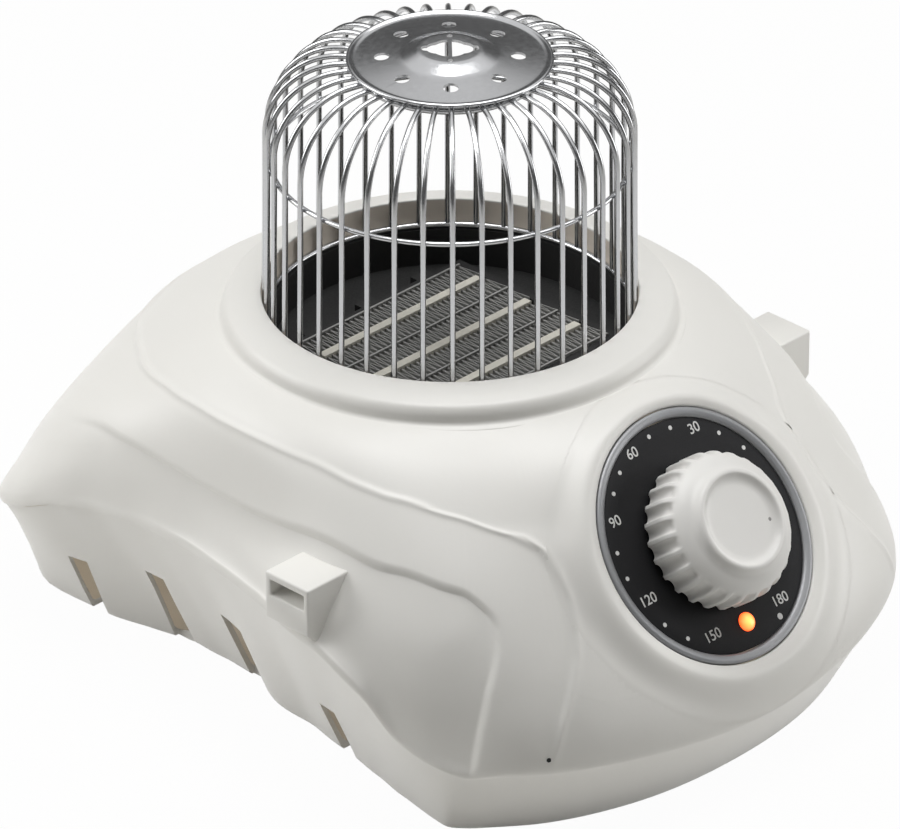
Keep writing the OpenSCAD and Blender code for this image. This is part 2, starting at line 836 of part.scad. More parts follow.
// Black frame round the element, with a foot at each corner that rests on the duct's deck
module heater_frame() {
    tab_w = 8;
    color(duct_colour)
        difference() {
            union() {
                translate([-frame_l / 2, -frame_w / 2, frame_foot - 1.5])
                    cube([frame_l, frame_w, frame_h + 1.5]);
                for (x = [-28, 0, 28])
                    for (s = [-1, 1])
                        translate([x - tab_w / 2, s * frame_w / 2 - 3.5, deck_z + deck_t])
                            cube([tab_w, 7, frame_foot + frame_h - deck_z - deck_t]);
            }
            translate([-heater_l / 2 - 0.3, -heater_w / 2 - 0.1, frame_foot])
                cube([heater_l + 0.6, heater_w + 0.2, heater_h + 2]);
            translate([-heater_l / 2 + 2.5, -heater_w / 2 + 2, frame_foot - 5])
                cube([heater_l - 5, heater_w - 4, heater_h]);
        }
}

module heater_terminals() {
    color([0.82, 0.70, 0.38])
        for (i = [0:2])
            translate([bar_l / 2 - 6, row_start(i) + strip_w + bar_t / 2 - 3, frame_foot - 11])
                cube([0.8, 6, 11]);
}

thermostat_z = 101.2;

module thermostat() {
    color([0.75, 0.76, 0.78])
        translate([0, -frame_w / 2 - duct_t, thermostat_z])
            rotate([90, 0, 0]) {
                cylinder(r = 6.3, h = 5, $fn = 48);
                translate([-12, -3, 0]) cube([24, 6, 0.8]);
                cylinder(r = 4.5, h = 8, $fn = 32);
                for (x = [-3, 3]) translate([x - 2.4, -0.4, 8]) cube([4.8, 0.8, 5]);
            }
}

module thermal_fuse() {
    color([0.85, 0.85, 0.84])
        translate([-7, frame_w / 2 + duct_t + 2, thermostat_z]) rotate([0, 90, 0]) {
            cylinder(r = 2, h = 14, $fn = 32);
            translate([0, 0, -8]) cylinder(r = 0.5, h = 30, $fn = 16);
        }
}

// ---------------------------------------------------------------- blower
shaft_r = motor_shaft_d / 2;
motor_screw_x = 26;
motor_screw_r = 2;
bracket_t = 3;
stack_foot = shroud_foot - bracket_t - 6 - stack_h;
rotor_r = 12.4;
bearing_r = 5.5;
bearing_h = 6;
impeller_foot = shroud_foot + spider_t + 5;
impeller_h = 22;
hub_r = 17;
shaft_top = impeller_foot + impeller_h - 4;
shaft_foot = stack_foot - 11;

module blade() {
    difference() {
        translate([0, -2, 0])
            rotate([90 - 52, 0, 0])
                translate([hub_r - 3, -15, -0.9]) cube([impeller_r - hub_r + 6, 30, 1.8]);
        translate([0, -50, -50]) cube([impeller_r + 20, 100, 50 - impeller_h / 2 + 1]);
        translate([0, -50, impeller_h / 2 - 1]) cube([impeller_r + 20, 100, 50]);
    }
}

module fan_impeller() {
    color([0.20, 0.20, 0.22])
        translate([0, 0, impeller_foot])
            difference() {
                union() {
                    cylinder(r = hub_r, h = impeller_h, $fn = 48);
                    intersection() {
                        translate([0, 0, impeller_h / 2])
                            for (i = [0:blade_count - 1])
                                rotate([0, 0, i * 360 / blade_count]) blade();
                        cylinder(r = impeller_r, h = impeller_h, $fn = 96);
                    }
                }
                translate([0, 0, -eps]) cylinder(r = hub_r - 2, h = impeller_h - 8, $fn = 48);
                translate([0, 0, -1]) cylinder(r = shaft_r, h = impeller_h - 2, $fn = 32);
            }
}

module motor_shaft() {
    color(steel_colour)
        translate([0, 0, shaft_foot]) cylinder(r = shaft_r, h = shaft_top - shaft_foot, $fn = 32);
}

module motor_rotor() {
    color([0.60, 0.61, 0.63])
        translate([0, 0, stack_foot - 1])
            difference() {
                cylinder(r = rotor_r, h = stack_h + 2, $fn = 48);
                translate([0, 0, -1]) cylinder(r = shaft_r, h = stack_h + 5, $fn = 32);
            }
}

// Stack of C-shaped plates: the rotor runs in one side and the coil sits on the other
module motor_stator() {
    color([0.48, 0.49, 0.52])
        translate([0, 0, stack_foot])
            difference() {
                translate([-32, -19, 0]) cube([64, 60, stack_h]);
                translate([0, 0, -1]) cylinder(r = rotor_r + 0.4, h = stack_h + 2, $fn = 48);
                translate([-20, 17, -1]) cube([40, 13, stack_h + 2]);
                for (x = [-1, 1])
                    translate([x * motor_screw_x, 0, -1])
                        cylinder(r = motor_screw_r + 0.1, h = stack_h + 2, $fn = 24);
            }
}

module motor_coil() {
    color([0.72, 0.38, 0.18])
        translate([0, 0, stack_foot])
            difference() {
                translate([-19.5, 17.5, -7]) cube([39, 29, stack_h + 14]);
                translate([-25, 29.9, -0.1]) cube([50, 11.2, stack_h + 0.2]);
            }
}

// Bridge across the stack with a cup for the bearing
module bracket() {
    rise = bracket_t + 6;
    difference() {
        union() {
            translate([-motor_screw_x - 5, -7, 0]) cube([10, 14, rise]);
            translate([motor_screw_x - 5, -7, 0]) cube([10, 14, rise]);
            translate([-motor_screw_x, -7, rise - bracket_t])
                cube([2 * motor_screw_x, 14, bracket_t]);
            translate([0, 0, rise - bearing_h - 0.5]) cylinder(r = 8, h = bearing_h + 0.5, $fn = 48);
        }
        translate([0, 0, -1]) cylinder(r = bearing_r, h = rise + 2, $fn = 48);
        for (x = [-1, 1])
            translate([x * motor_screw_x, 0, -1])
                cylinder(r = motor_screw_r + 0.1, h = rise + 2, $fn = 24);
    }
}

module upper_bracket() {
    color(steel_colour) translate([0, 0, stack_foot + stack_h]) bracket();
}

module lower_bracket() {
    color(steel_colour) translate([0, 0, stack_foot]) mirror([0, 0, 1]) bracket();
}

module bearing() {
    difference() {
        cylinder(r = bearing_r, h = bearing_h, $fn = 48);
        translate([0, 0, -1]) cylinder(r = shaft_r + running, h = bearing_h + 2, $fn = 32);
    }
}

module motor_bearings() {
    rise = bracket_t + 6;
    color([0.72, 0.58, 0.36]) {
        translate([0, 0, stack_foot + stack_h + rise - bearing_h]) bearing();
        translate([0, 0, stack_foot - rise]) bearing();
    }
}

module motor_screws() {
    head_z = stack_foot - bracket_t - 6;
    color(steel_colour)
        for (x = [-1, 1])
            translate([x * motor_screw_x, 0, head_z])
                screw(motor_screw_r, shroud_foot + spider_t + 3 - head_z, 3.6, 2.4);
}

// ---------------------------------------------------------------- dial and timer
bush_r = 5;
bush_h = 3;
nut_h = 2.4;
case_r = 26;
case_h = 22;
timer_r = timer_shaft_d / 2;
knob_gap = 1.2;
shaft_end = knob_height - 5;

module bezel_ring() {
    inner = dial_r + bezel_fit;
    outer = inner + bezel_w;
    color([0.50, 0.50, 0.52])
        on_dial()
            rotate_extrude($fn = 96)
                polygon([
                    [inner, -dial_plate_t], [outer, -dial_plate_t], [outer, 0.9],
                    [outer - 0.5, 1.4], [inner + 1, 1.2], [inner, 0.5]
                ]);
}

module dial_plate() {
    color([0.07, 0.07, 0.08])
        on_dial()
            difference() {
                translate([0, 0, -dial_plate_t]) cylinder(r = dial_r, h = dial_plate_t, $fn = 96);
                translate([0, 0, -5]) cylinder(r = bush_r + 0.2, h = 10, $fn = 48);
                translate([0, -lamp_offset, -5]) cylinder(r = lamp_r + 0.1, h = 10, $fn = 32);
            }
}

module indicator_lens() {
    color([0.95, 0.35, 0.10])
        on_dial()
            translate([0, -lamp_offset, 0])
                rotate_extrude($fn = 48)
                    polygon([
                        [0, pan_back - 0.4], [lamp_r, pan_back - 0.4], [lamp_r, 0.3], [2.9, 0.9],
                        [2.1, 1.4], [1.1, 1.7], [0, 1.8]
                    ]);
}

module lamp_holder() {
    color([0.90, 0.89, 0.85])
        on_dial()
            translate([0, -lamp_offset, pan_back - 14.4])
                difference() {
                    cylinder(r = 5.2, h = 14.4, $fn = 48);
                    translate([0, 0, 14]) cylinder(r = lamp_r + 0.1, h = 2, $fn = 32);
                    translate([0, 0, 3]) cylinder(r = 2.6, h = 12, $fn = 32);
                }
}

module timer_case() {
    color([0.86, 0.86, 0.83])
        on_dial()
            difference() {
                union() {
                    translate([0, 0, pan_back - case_h]) cylinder(r = case_r, h = case_h, $fn = 64);
                    translate([0, 0, pan_back - eps])
                        cylinder(r = bush_r, h = bush_h - pan_back, $fn = 48);
                }
                translate([0, 0, pan_back - case_h + 4])
                    cylinder(r = timer_r + running, h = 60, $fn = 48);
            }
}

module timer_nut() {
    color(steel_colour)
        on_dial()
            difference() {
                cylinder(r = 8.2, h = nut_h, $fn = 6);
                translate([0, 0, -1]) cylinder(r = bush_r, h = 6, $fn = 48);
            }
}

module timer_terminals() {
    color([0.82, 0.70, 0.38])
        on_dial()
            for (x = [-10, 0, 10])
                translate([x - 2.4, -8.4, pan_back - case_h - 9]) cube([4.8, 0.8, 9]);
}

module timer_shaft() {
    color(steel_colour)
        on_dial()
            translate([0, 0, pan_back - case_h + 4 + running])
                cylinder(r = timer_r, h = shaft_end - pan_back + case_h - 4, $fn = 48);
}

// Fluted knob: a scalloped skirt, a smooth shoulder and a round ridge about a dished face
module control_knob() {
    flute_r = 2.2;
    hub_r_in = 8;
    color(shell_colour)
        on_dial()
            difference() {
                rotate_extrude($fn = 96)
                    polygon([
                        [hub_r_in, 4.4], [hub_r_in, knob_height - 6], [knob_r - 6.5, knob_height - 6],
                        [knob_r - 3, knob_height - 10], [knob_r - 3, knob_gap],
                        [knob_r - 0.8, knob_gap], [knob_r, knob_gap + 0.8],
                        [knob_r, knob_height - 10.5], [knob_r - 1.2, knob_height - 7.6],
                        [knob_r - 3.6, knob_height - 5.2], [knob_r - 6.8, knob_height - 3.8],
                        [knob_r - 8.6, knob_height - 2.6], [knob_r - 9.4, knob_height - 0.8],
                        [knob_r - 10.1, knob_height], [knob_r - 11, knob_height - 0.6],
                        [knob_r - 13, knob_height - 1.8], [0, knob_height - 2.2], [0, 4.4]
                    ]);
                for (i = [0:flute_count - 1])
                    rotate([0, 0, i * 360 / flute_count])
                        translate([knob_r + flute_r * 0.2, 0, 0])
                            cylinder(r = flute_r, h = knob_height - 7, $fn = 24);
                cylinder(r = timer_r, h = shaft_end + 2 * running, $fn = 48);
            }
}

// ---------------------------------------------------------------- wiring block
module terminal_block() {
    color([0.88, 0.87, 0.80])
        translate([-20, rear_reach - 51.5, floor_top]) {
            difference() {
                cube([40, 16, 12]);
                for (x = [8, 20, 32])
                    for (y = [4, 12])
                        translate([x, y, 6]) cylinder(r = 2.4, h = 10, $fn = 24);
            }
        }
}

top_cover();
outlet_collar();
frame_lugs();
base_tub();
intake_grille();
rubber_feet();
cover_screws();
grille_screws();
guard_wires();
guard_base_ring();
guard_mid_ring();
guard_top_ring();
guard_cap();
air_duct();
duct_screws();
heater_frame();
heater_fins();
heater_bars();
heater_plates();
heater_terminals();
thermostat();
thermal_fuse();
fan_impeller();
motor_shaft();
motor_rotor();
motor_stator();
motor_coil();
upper_bracket();
lower_bracket();
motor_bearings();
motor_screws();
bezel_ring();
dial_plate();
indicator_lens();
lamp_holder();
timer_case();
timer_nut();
timer_terminals();
timer_shaft();
control_knob();
terminal_block();
cord_gland();
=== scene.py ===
"""Looks for the heater base: smooth moulded shells, plated wires, dial, lamp and soft light."""
import math

import bmesh
import bpy
import numpy as np
from mathutils import Matrix, Vector
from mathutils.bvhtree import BVHTree


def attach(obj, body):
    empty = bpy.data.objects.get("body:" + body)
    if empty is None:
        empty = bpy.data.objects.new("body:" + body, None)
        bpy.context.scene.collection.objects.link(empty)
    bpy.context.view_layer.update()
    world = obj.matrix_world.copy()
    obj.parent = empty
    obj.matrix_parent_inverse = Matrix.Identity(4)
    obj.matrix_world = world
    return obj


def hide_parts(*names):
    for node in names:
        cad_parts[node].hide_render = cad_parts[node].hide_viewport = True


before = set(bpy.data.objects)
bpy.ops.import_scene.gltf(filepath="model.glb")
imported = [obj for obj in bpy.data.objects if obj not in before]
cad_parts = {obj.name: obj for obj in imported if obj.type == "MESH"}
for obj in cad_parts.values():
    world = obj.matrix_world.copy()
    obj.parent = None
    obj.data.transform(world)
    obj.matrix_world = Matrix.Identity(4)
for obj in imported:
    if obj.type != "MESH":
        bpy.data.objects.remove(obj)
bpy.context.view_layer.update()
scene = bpy.context.scene
MM = 0.001

# ------------------------------------ camera
AZIMUTH, ELEVATION = math.radians(-45.79), math.radians(29.49)
FOCAL_LENGTH, CAMERA_FAR = 355.68, 3.12
TARGET_HEIGHT, AIM_BELOW = 0.102, 0.01495
back = Vector((math.sin(AZIMUTH) * math.cos(ELEVATION),
               -math.cos(AZIMUTH) * math.cos(ELEVATION), math.sin(ELEVATION)))
up = Vector((-math.sin(AZIMUTH) * math.sin(ELEVATION),
             math.cos(AZIMUTH) * math.sin(ELEVATION), math.cos(ELEVATION)))
target = Vector((0, 0, TARGET_HEIGHT))
cam_data = bpy.data.cameras.new("camera")
camera = bpy.data.objects.new("camera", cam_data)
scene.collection.objects.link(camera)
cam_data.sensor_width = 36
cam_data.lens = FOCAL_LENGTH
cam_data.clip_start, cam_data.clip_end = 0.1, 20
camera.location = target + back * CAMERA_FAR
look = (target - up * AIM_BELOW) - camera.location
camera.rotation_mode = "QUATERNION"
camera.rotation_quaternion = look.to_track_quat("-Z", "Y")
scene.camera = camera


# ------------------------------------ mesh helpers
def linked(name, data):
    """A new object in the scene."""
    piece = bpy.data.objects.new(name, data)
    scene.collection.objects.link(piece)
    return piece


def add(name, points, faces, body="base", smooth=True, sharp=None):
    """A new piece from points in mm; it rides on a body."""
    mesh = bpy.data.meshes.new(name)
    mesh.from_pydata([tuple(c * MM for c in p) for p in np.asarray(points, float)], [],
                     [tuple(int(i) for i in f) for f in faces])
    bm = bmesh.new()
    bm.from_mesh(mesh)
    bmesh.ops.remove_doubles(bm, verts=bm.verts, dist=1e-7)
    bmesh.ops.recalc_face_normals(bm, faces=bm.faces)
    bm.to_mesh(mesh)
    bm.free()
    if smooth:
        mesh.shade_smooth()
        if sharp:
            mesh.set_sharp_from_angle(angle=math.radians(sharp))
    piece = linked(name, mesh)
    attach(piece, body)
    return piece


def grid_faces(rows, cols, close_rows=False, close_cols=False):
    """Four-sided faces over a grid of points, closed round either way."""
    r, c = np.meshgrid(np.arange(rows - (not close_rows)), np.arange(cols - (not close_cols)),
                       indexing="ij")
    r2, c2 = (r + 1) % rows, (c + 1) % cols
    return np.stack([r * cols + c, r2 * cols + c, r2 * cols + c2, r * cols + c2], -1).reshape(-1, 4)


def revolve(name, profile, turn=160, where=None, body="base", closed=True, sharp=32):
    """A profile of [radius, height] in mm turned about Z, then placed."""
    p = np.asarray(profile, float)
    a = np.linspace(0, 2 * np.pi, turn, endpoint=False)
    pts = np.stack([p[None, :, 0] * np.cos(a)[:, None], p[None, :, 0] * np.sin(a)[:, None],
                    np.repeat(p[None, :, 1], turn, 0)], -1).reshape(-1, 3)
    faces = grid_faces(turn, len(p), True, closed)
    faces = [f for f in faces.tolist() if len({tuple(np.round(pts[i], 6)) for i in f}) > 2]
    if where is not None:
        m = np.array(where)
        pts = pts @ m[:3, :3].T + m[:3, 3]
    return add(name, pts, faces, body, True, sharp)


def rounded(points, radii, steps=6):
    """A polyline with its inner corners rounded: one radius for each point, 0 keeps it sharp."""
    out = []
    n = len(points)
    for i, (p, r) in enumerate(zip(points, radii)):
        p = np.array(p, float)
        a, b = np.array(points[i - 1], float), np.array(points[(i + 1) % n], float)
        la, lb = np.linalg.norm(a - p), np.linalg.norm(b - p)
        d = min(r, la * 0.49, lb * 0.49)
        if d <= 0:
            out.append(p)
            continue
        q, s = p + (a - p) * d / la, p + (b - p) * d / lb
        for t in np.linspace(0, 1, steps):
            out.append((1 - t) ** 2 * q + 2 * t * (1 - t) * p + t * t * s)
    return np.array(out)


def evaluated(piece):
    """The mesh of a piece, with its modifiers or curve bevel applied."""
    return bpy.data.meshes.new_from_object(
        piece.evaluated_get(bpy.context.evaluated_depsgraph_get()))


def apply_modifiers(piece):
    mesh = evaluated(piece)
    old = piece.data
    piece.modifiers.clear()
    piece.data = mesh
    mesh.name = piece.name
    bpy.data.meshes.remove(old)


def cut(piece, cutter):
    """Takes a helper solid away from a piece, and removes the helper."""
    m = piece.modifiers.new("cut", "BOOLEAN")
    m.operation = "DIFFERENCE"
    m.solver = "EXACT"
    m.object = cutter
    apply_modifiers(piece)
    bpy.data.objects.remove(cutter)


def bare(name, points, faces):
    """A helper solid, in mm, that isn't part of the object."""
    mesh = bpy.data.meshes.new(name)
    mesh.from_pydata([tuple(c * MM for c in p) for p in points], [], [tuple(f) for f in faces])
    bm = bmesh.new()
    bm.from_mesh(mesh)
    bmesh.ops.recalc_face_normals(bm, faces=bm.faces)
    bm.to_mesh(mesh)
    bm.free()
    return linked(name, mesh)


def only_finish(piece, finish):
    piece.data.materials.clear()
    piece.data.materials.append(finish)


def placed(mesh, where):
    """Moves a mesh by a matrix whose lengths are in mm."""
    mesh.transform(Matrix.Scale(MM, 4) @ where @ Matrix.Scale(1 / MM, 4))


def prism_faces(n):
    """Faces of a prism: n points of the lower outline, then n of the upper one."""
    faces = [list(range(n - 1, -1, -1)), list(range(n, 2 * n))]
    return faces + [[i, (i + 1) % n, n + (i + 1) % n, n + i] for i in range(n)]


def drum(name, r, z0, z1, x=0, y=0, n=40):
    """A helper cylinder that stands on end."""
    a = np.linspace(0, 2 * np.pi, n, endpoint=False)
    pts = [(x + r * math.cos(t), y + r * math.sin(t), z) for z in (z0, z1) for t in a]
    return bare(name, pts, prism_faces(n))


def block(name, low, high):
    """A helper box between two corners."""
    (x0, y0, z0), (x1, y1, z1) = low, high
    pts = [(x, y, z) for x in (x0, x1) for y in (y0, y1) for z in (z0, z1)]
    faces = [(0, 1, 3, 2), (4, 6, 7, 5), (0, 4, 5, 1), (2, 3, 7, 6), (0, 2, 6, 4), (1, 5, 7, 3)]
    return bare(name, pts, faces)


# ------------------------------------ materials
def put(node, **values):
    """Sets inputs of a node: From_Min stands for the input From Min."""
    for key, value in values.items():
        node.inputs[key.replace("_", " ")].default_value = value


def surface_masks():
    """Shared masks: a fine grain and a broad mottling."""
    g = bpy.data.node_groups.new("surface_masks", "ShaderNodeTree")
    g.interface.new_socket("Scale", in_out="INPUT", socket_type="NodeSocketFloat")
    g.interface.new_socket("Grain", in_out="OUTPUT", socket_type="NodeSocketFloat")
    g.interface.new_socket("Mottle", in_out="OUTPUT", socket_type="NodeSocketFloat")
    n, l = g.nodes, g.links
    gin, gout = n.new("NodeGroupInput"), n.new("NodeGroupOutput")
    tex = n.new("ShaderNodeTexCoord")
    fine = n.new("ShaderNodeTexNoise")
    put(fine, Detail=3)
    broad = n.new("ShaderNodeTexNoise")
    put(broad, Scale=26, Detail=4)
    l.new(tex.outputs["Object"], fine.inputs["Vector"])
    l.new(tex.outputs["Object"], broad.inputs["Vector"])
    l.new(gin.outputs["Scale"], fine.inputs["Scale"])
    l.new(fine.outputs["Fac"], gout.inputs["Grain"])
    l.new(broad.outputs["Fac"], gout.inputs["Mottle"])
    return g


MASKS = surface_masks()


def material(name, colour, second=None, rough=0.4, rough2=None, metal=0.0, grain=900.0,
             bump=0.02, spec=0.5, glow=None):
    """A two-tone finish with its own grain, roughness and bump; glow is its colour and strength."""
    m = bpy.data.materials.new(name)
    m.use_nodes = True
    n, l = m.node_tree.nodes, m.node_tree.links
    b = n["Principled BSDF"]
    masks = n.new("ShaderNodeGroup")
    masks.node_tree = MASKS
    put(masks, Scale=grain)
    mix = n.new("ShaderNodeMix")
    mix.data_type = "RGBA"
    second = second or tuple(c * 0.95 for c in colour)
    put(mix, A=(*colour, 1), B=(*second, 1))
    l.new(masks.outputs["Mottle"], mix.inputs["Factor"])
    l.new(mix.outputs["Result"], b.inputs["Base Color"])
    ramp = n.new("ShaderNodeMapRange")
    put(ramp, From_Min=0.3, From_Max=0.7, To_Min=rough,
        To_Max=rough + 0.06 if rough2 is None else rough2)
    l.new(masks.outputs["Grain"], ramp.inputs["Value"])
    l.new(ramp.outputs["Result"], b.inputs["Roughness"])
    bmp = n.new("ShaderNodeBump")
    put(bmp, Strength=bump, Distance=0.0004)
    l.new(masks.outputs["Grain"], bmp.inputs["Height"])
    l.new(bmp.outputs["Normal"], b.inputs["Normal"])
    put(b, Metallic=metal, Specular_IOR_Level=spec)
    if glow:
        put(b, Emission_Color=(*glow[:3], 1), Emission_Strength=glow[3])
    return m


M_WHITE = material("white_shell", (0.815, 0.805, 0.770), (0.80, 0.788, 0.750), 0.36, 0.44,
                   grain=700, bump=0.035)
# Painted glow: the inner faces give off a little warm light of their own, standing in for light let
# through the thin wall
M_WHITE_IN_PAINTED_GLOW = material("white_inside_painted_glow", (0.80, 0.765, 0.70), (0.77, 0.73, 0.66), 0.5, grain=700,
                      glow=(0.50, 0.44, 0.355, 0.22))
M_KNOB = material("white_knob", (0.79, 0.78, 0.755), (0.77, 0.76, 0.73), 0.38, 0.46,
                  grain=800, bump=0.03)
M_DUCT = material("black_duct", (0.020, 0.020, 0.020), (0.028, 0.028, 0.028), 0.5, 0.65,
                  grain=1500, bump=0.15, spec=0.25)
M_DIAL = material("dial_black", (0.010, 0.010, 0.011), (0.014, 0.014, 0.015), 0.55, 0.68,
                  grain=2200, bump=0.10, spec=0.18)
M_INK = material("white_ink", (0.72, 0.72, 0.70), (0.60, 0.60, 0.59), 0.55, grain=3000)
M_WIRE = material("plated_wire", (0.60, 0.605, 0.615), (0.50, 0.505, 0.515), 0.13, 0.22, metal=1.0,
                  grain=1200, bump=0.03)
M_CAP = material("plated_cap", (0.56, 0.565, 0.575), (0.48, 0.485, 0.495), 0.16, 0.24,
                 metal=1.0, grain=500, bump=0.02)
M_RUBBER = material("black_rubber", (0.035, 0.035, 0.035), (0.05, 0.05, 0.05), 0.7, grain=1500,
                    bump=0.2)
M_ZINC = material("zinc_screw", (0.60, 0.61, 0.63), (0.52, 0.53, 0.55), 0.3, metal=1.0)
M_STEEL = material("motor_steel", (0.42, 0.43, 0.45), (0.35, 0.36, 0.38), 0.4, metal=1.0)
M_FIN = material("fin_strip", (0.44, 0.44, 0.425), (0.35, 0.35, 0.34), 0.4, 0.52, metal=0.4,
                 grain=1400, bump=0.1)
M_CREAM = material("cream_bar", (0.80, 0.78, 0.70), (0.72, 0.69, 0.60), 0.5, grain=600, bump=0.08)
M_BRASS = material("brass_terminal", (0.62, 0.48, 0.20), (0.55, 0.42, 0.18), 0.35, metal=1.0)
M_COPPER = material("copper_winding", (0.50, 0.20, 0.08), (0.42, 0.16, 0.06), 0.35, metal=0.6,
                    grain=1800, bump=0.3)
M_BRONZE = material("bronze_bearing", (0.42, 0.30, 0.16), (0.36, 0.25, 0.13), 0.5, metal=0.9)
M_FAN = material("dark_impeller", (0.05, 0.05, 0.055), (0.06, 0.06, 0.065), 0.4, grain=900)
# Painted shade: a warm tan for the collar's inner wall, which is the same white plastic, shaded and
# warmly lit
M_COLLAR_PAINTED_SHADE = material("collar_painted_shade", (0.84, 0.76, 0.66), (0.76, 0.69, 0.60), 0.4, grain=500,
                    bump=0.06)
M_INNER = material("inner_white", (0.72, 0.72, 0.68), (0.68, 0.68, 0.64), 0.5)
M_BEZEL = material("bezel_grey", (0.30, 0.305, 0.315), (0.25, 0.255, 0.265), 0.34, 0.45,
                   metal=0.35, grain=1300, bump=0.05)


def lens_material():
    """A lit lens: amber in the middle and red at its edge."""
    m = bpy.data.materials.new("lamp_lens")
    m.use_nodes = True
    n, l = m.node_tree.nodes, m.node_tree.links
    b = n["Principled BSDF"]
    tex = n.new("ShaderNodeTexCoord")
    dist = n.new("ShaderNodeVectorMath")
    dist.operation = "DISTANCE"
    dist.inputs[1].default_value = LAMP_CENTRE
    l.new(tex.outputs["Object"], dist.inputs[0])
    ramp = n.new("ShaderNodeMapRange")
    put(ramp, From_Min=0.0006, From_Max=0.0036)
    l.new(dist.outputs["Value"], ramp.inputs["Value"])
    cr = n.new("ShaderNodeValToRGB")
    cr.color_ramp.elements[0].color = (1.0, 0.52, 0.12, 1)
    cr.color_ramp.elements[1].color = (1.0, 0.06, 0.01, 1)
    l.new(ramp.outputs["Result"], cr.inputs["Fac"])
    l.new(cr.outputs["Color"], b.inputs["Emission Color"])
    put(b, Base_Color=(0.75, 0.10, 0.03, 1), Emission_Strength=2.2, Roughness=0.15)
    return m


# ------------------------------------ shape of the body
def beside(half_width, angle):
    """Distance from the axis, at an angle, of a flank that stands half_width to the side."""
    return half_width / math.sin(math.radians(angle))


# The five tables from here to DRAFT were adjusted by another program's least-squares fit and
# rounded, and a few rows were then set by hand.
# Rows of [angle from the front, distance from the outlet's axis, height], in mm
RIM = np.array([
    [0, 154.8, 28.4], [20, 156.6, 30.6], [33, 158, 31.7], [39, 157, 31.9], [44, 154.3, 30.1],
    [48.6, 150.3, 33.1], [53, beside(116.5, 53), 39.1], [58.6, beside(121.5, 58.6), 54.4],
    [67.5, beside(123, 67.5), 64.9], [80.5, beside(116.4, 80.5), 66.3], [90, 112, 66],
    [100, beside(108, 100), 65.1], [112, beside(105.3, 112), 63.4],
    [123.7, beside(104.5, 123.7), 60.1], [131, beside(106, 131), 54.7],
    [137, beside(104.9, 137), 45.3], [142, 160.4, 39.7], [147, 161.2, 34.5],
    [160, 155.8, 34.4], [180, 155.5, 34]])
SHOULDER = np.array([
    [0, 108, 118], [14, 110, 114], [24, 112.3, 108.6], [32, 113.8, 102.6], [40, 111.2, 104.7],
    [48, 108, 108.5], [56, 105.6, 111.6], [62.5, 103.9, 114.4], [75, 100.1, 117.2],
    [90, 97.7, 118.4], [105, 97.6, 116.9], [117, 100.8, 114.7], [126, 104.9, 111.7],
    [136, 107.7, 107.8], [146, 111.7, 104.7], [158, 116.2, 102.8], [180, 118.8, 102.4]])
# Rows of [angle, share of the way out, share of the way down] from the shoulder to the rim
HIP = np.array([
    [0, .81, .66], [24, .75, .59], [33, .63, .43], [38.5, .585, .328], [44, .525, .217],
    [50, .48, .235], [62, .446, .355], [75, .47, .445], [90, .5, .49], [101, .6, .494],
    [112, .8, .463], [121, .845, .411], [128, .787, .378], [136, .688, .387],
    [146, .546, .373], [160, .489, .334], [180, .47, .33]])
# How far the panel below the hip bulges, and how much the tub's wall draws in for each mm down
PANEL = np.array([[0, 2.5], [46, 5.5], [75, .8], [100, .35], [137, 2.7], [180, 2.7]])
DRAFT = np.array([
    [0, .636], [20, .573], [36, .534], [40, .508], [44, .459], [46, .42], [48, .494], [50, .572],
    [53, .622], [56, .61], [66, .568], [76, .506], [90, .415], [104, .478], [117, .52],
    [127, .62], [139, .7], [145, .44], [152, .214], [180, .2]])
FLOOR_Z = 2.0
# Strength of the crease lines and of the step below the hip line
CREST = np.array([[0, 0], [29, 0.0], [34, 0.8], [40, 1], [120, 1], [150, .75], [163, .2], [180, 0]])
STEP = np.array([[0, 0], [37, 0], [41, 1], [114, 1], [123, .8], [130, .3], [137, 0], [180, 0]])


def along(rows, a, c=1):
    """Column c of a table at angles a, on a smooth curve that doesn't overshoot."""
    a = np.asarray(a, float)
    x, v = rows[:, 0], rows[:, c]
    i = np.clip(np.searchsorted(x, a, side="right") - 1, 0, len(x) - 2)
    d = np.diff(v) / np.diff(x)
    m = np.zeros(len(x))
    for k in range(1, len(x) - 1):
        p, q = d[k - 1], d[k]
        m[k] = 0 if p * q <= 0 else 2 * p * q / (p + q)
    h = x[i + 1] - x[i]
    t = (a - x[i]) / h
    return (v[i] + (v[i + 1] - v[i]) * t * t * (3 - 2 * t)
            + h * t * (1 - t) * ((1 - t) * m[i] - t * m[i + 1]))


def smoothstep(x, lo, hi):
    t = np.clip((x - lo) / (hi - lo), 0, 1)
    return t * t * (3 - 2 * t)


def lerp(a, b, t):
    return a + (b - a) * t


def folded(angles):
    """The two sides are alike: an angle past 180 counts from the other side."""
    return np.where(angles > 180, 360 - angles, angles)


def both(a, b, rounding):
    """Smooth lesser of two distances: how far a point is inside both edges."""
    mix = np.clip(0.5 + 0.5 * (a - b) / rounding, 0, 1)
    return a * (1 - mix) + b * mix - rounding * mix * (1 - mix)


# Points along each stretch of the profile, round its two creases, and round its rolled rim
N_A, N_F1, N_B, N_F2, N_C, N_R = 34, 9, 34, 13, 46, 8
# Where the crown starts, under the collar: [distance from the axis, height]
CROWN_FOOT = [80.2, 126.4]
# How far the crown, belt and panel swell, and where the rim rolls in above its edge
CROWN_LIFT, BELT_BULGE, PANEL_OUT = 0.086, [0.35, 0.35], np.array([[0.9, 0.45]])
ROLL_TOP, ROLL_BEND = np.array([1.0, 5.0]), np.array([1.3, 1.6])


def bowed(start, end, bulge, t, lo, hi):
    """Points from share lo to share hi of a line whose middle is pushed out by a bulge."""
    share = (lo[:, None] + (hi - lo)[:, None] * t[None])[..., None]
    return lerp(start[:, None], end[:, None], share) + 4 * share * (1 - share) * bulge[:, None]


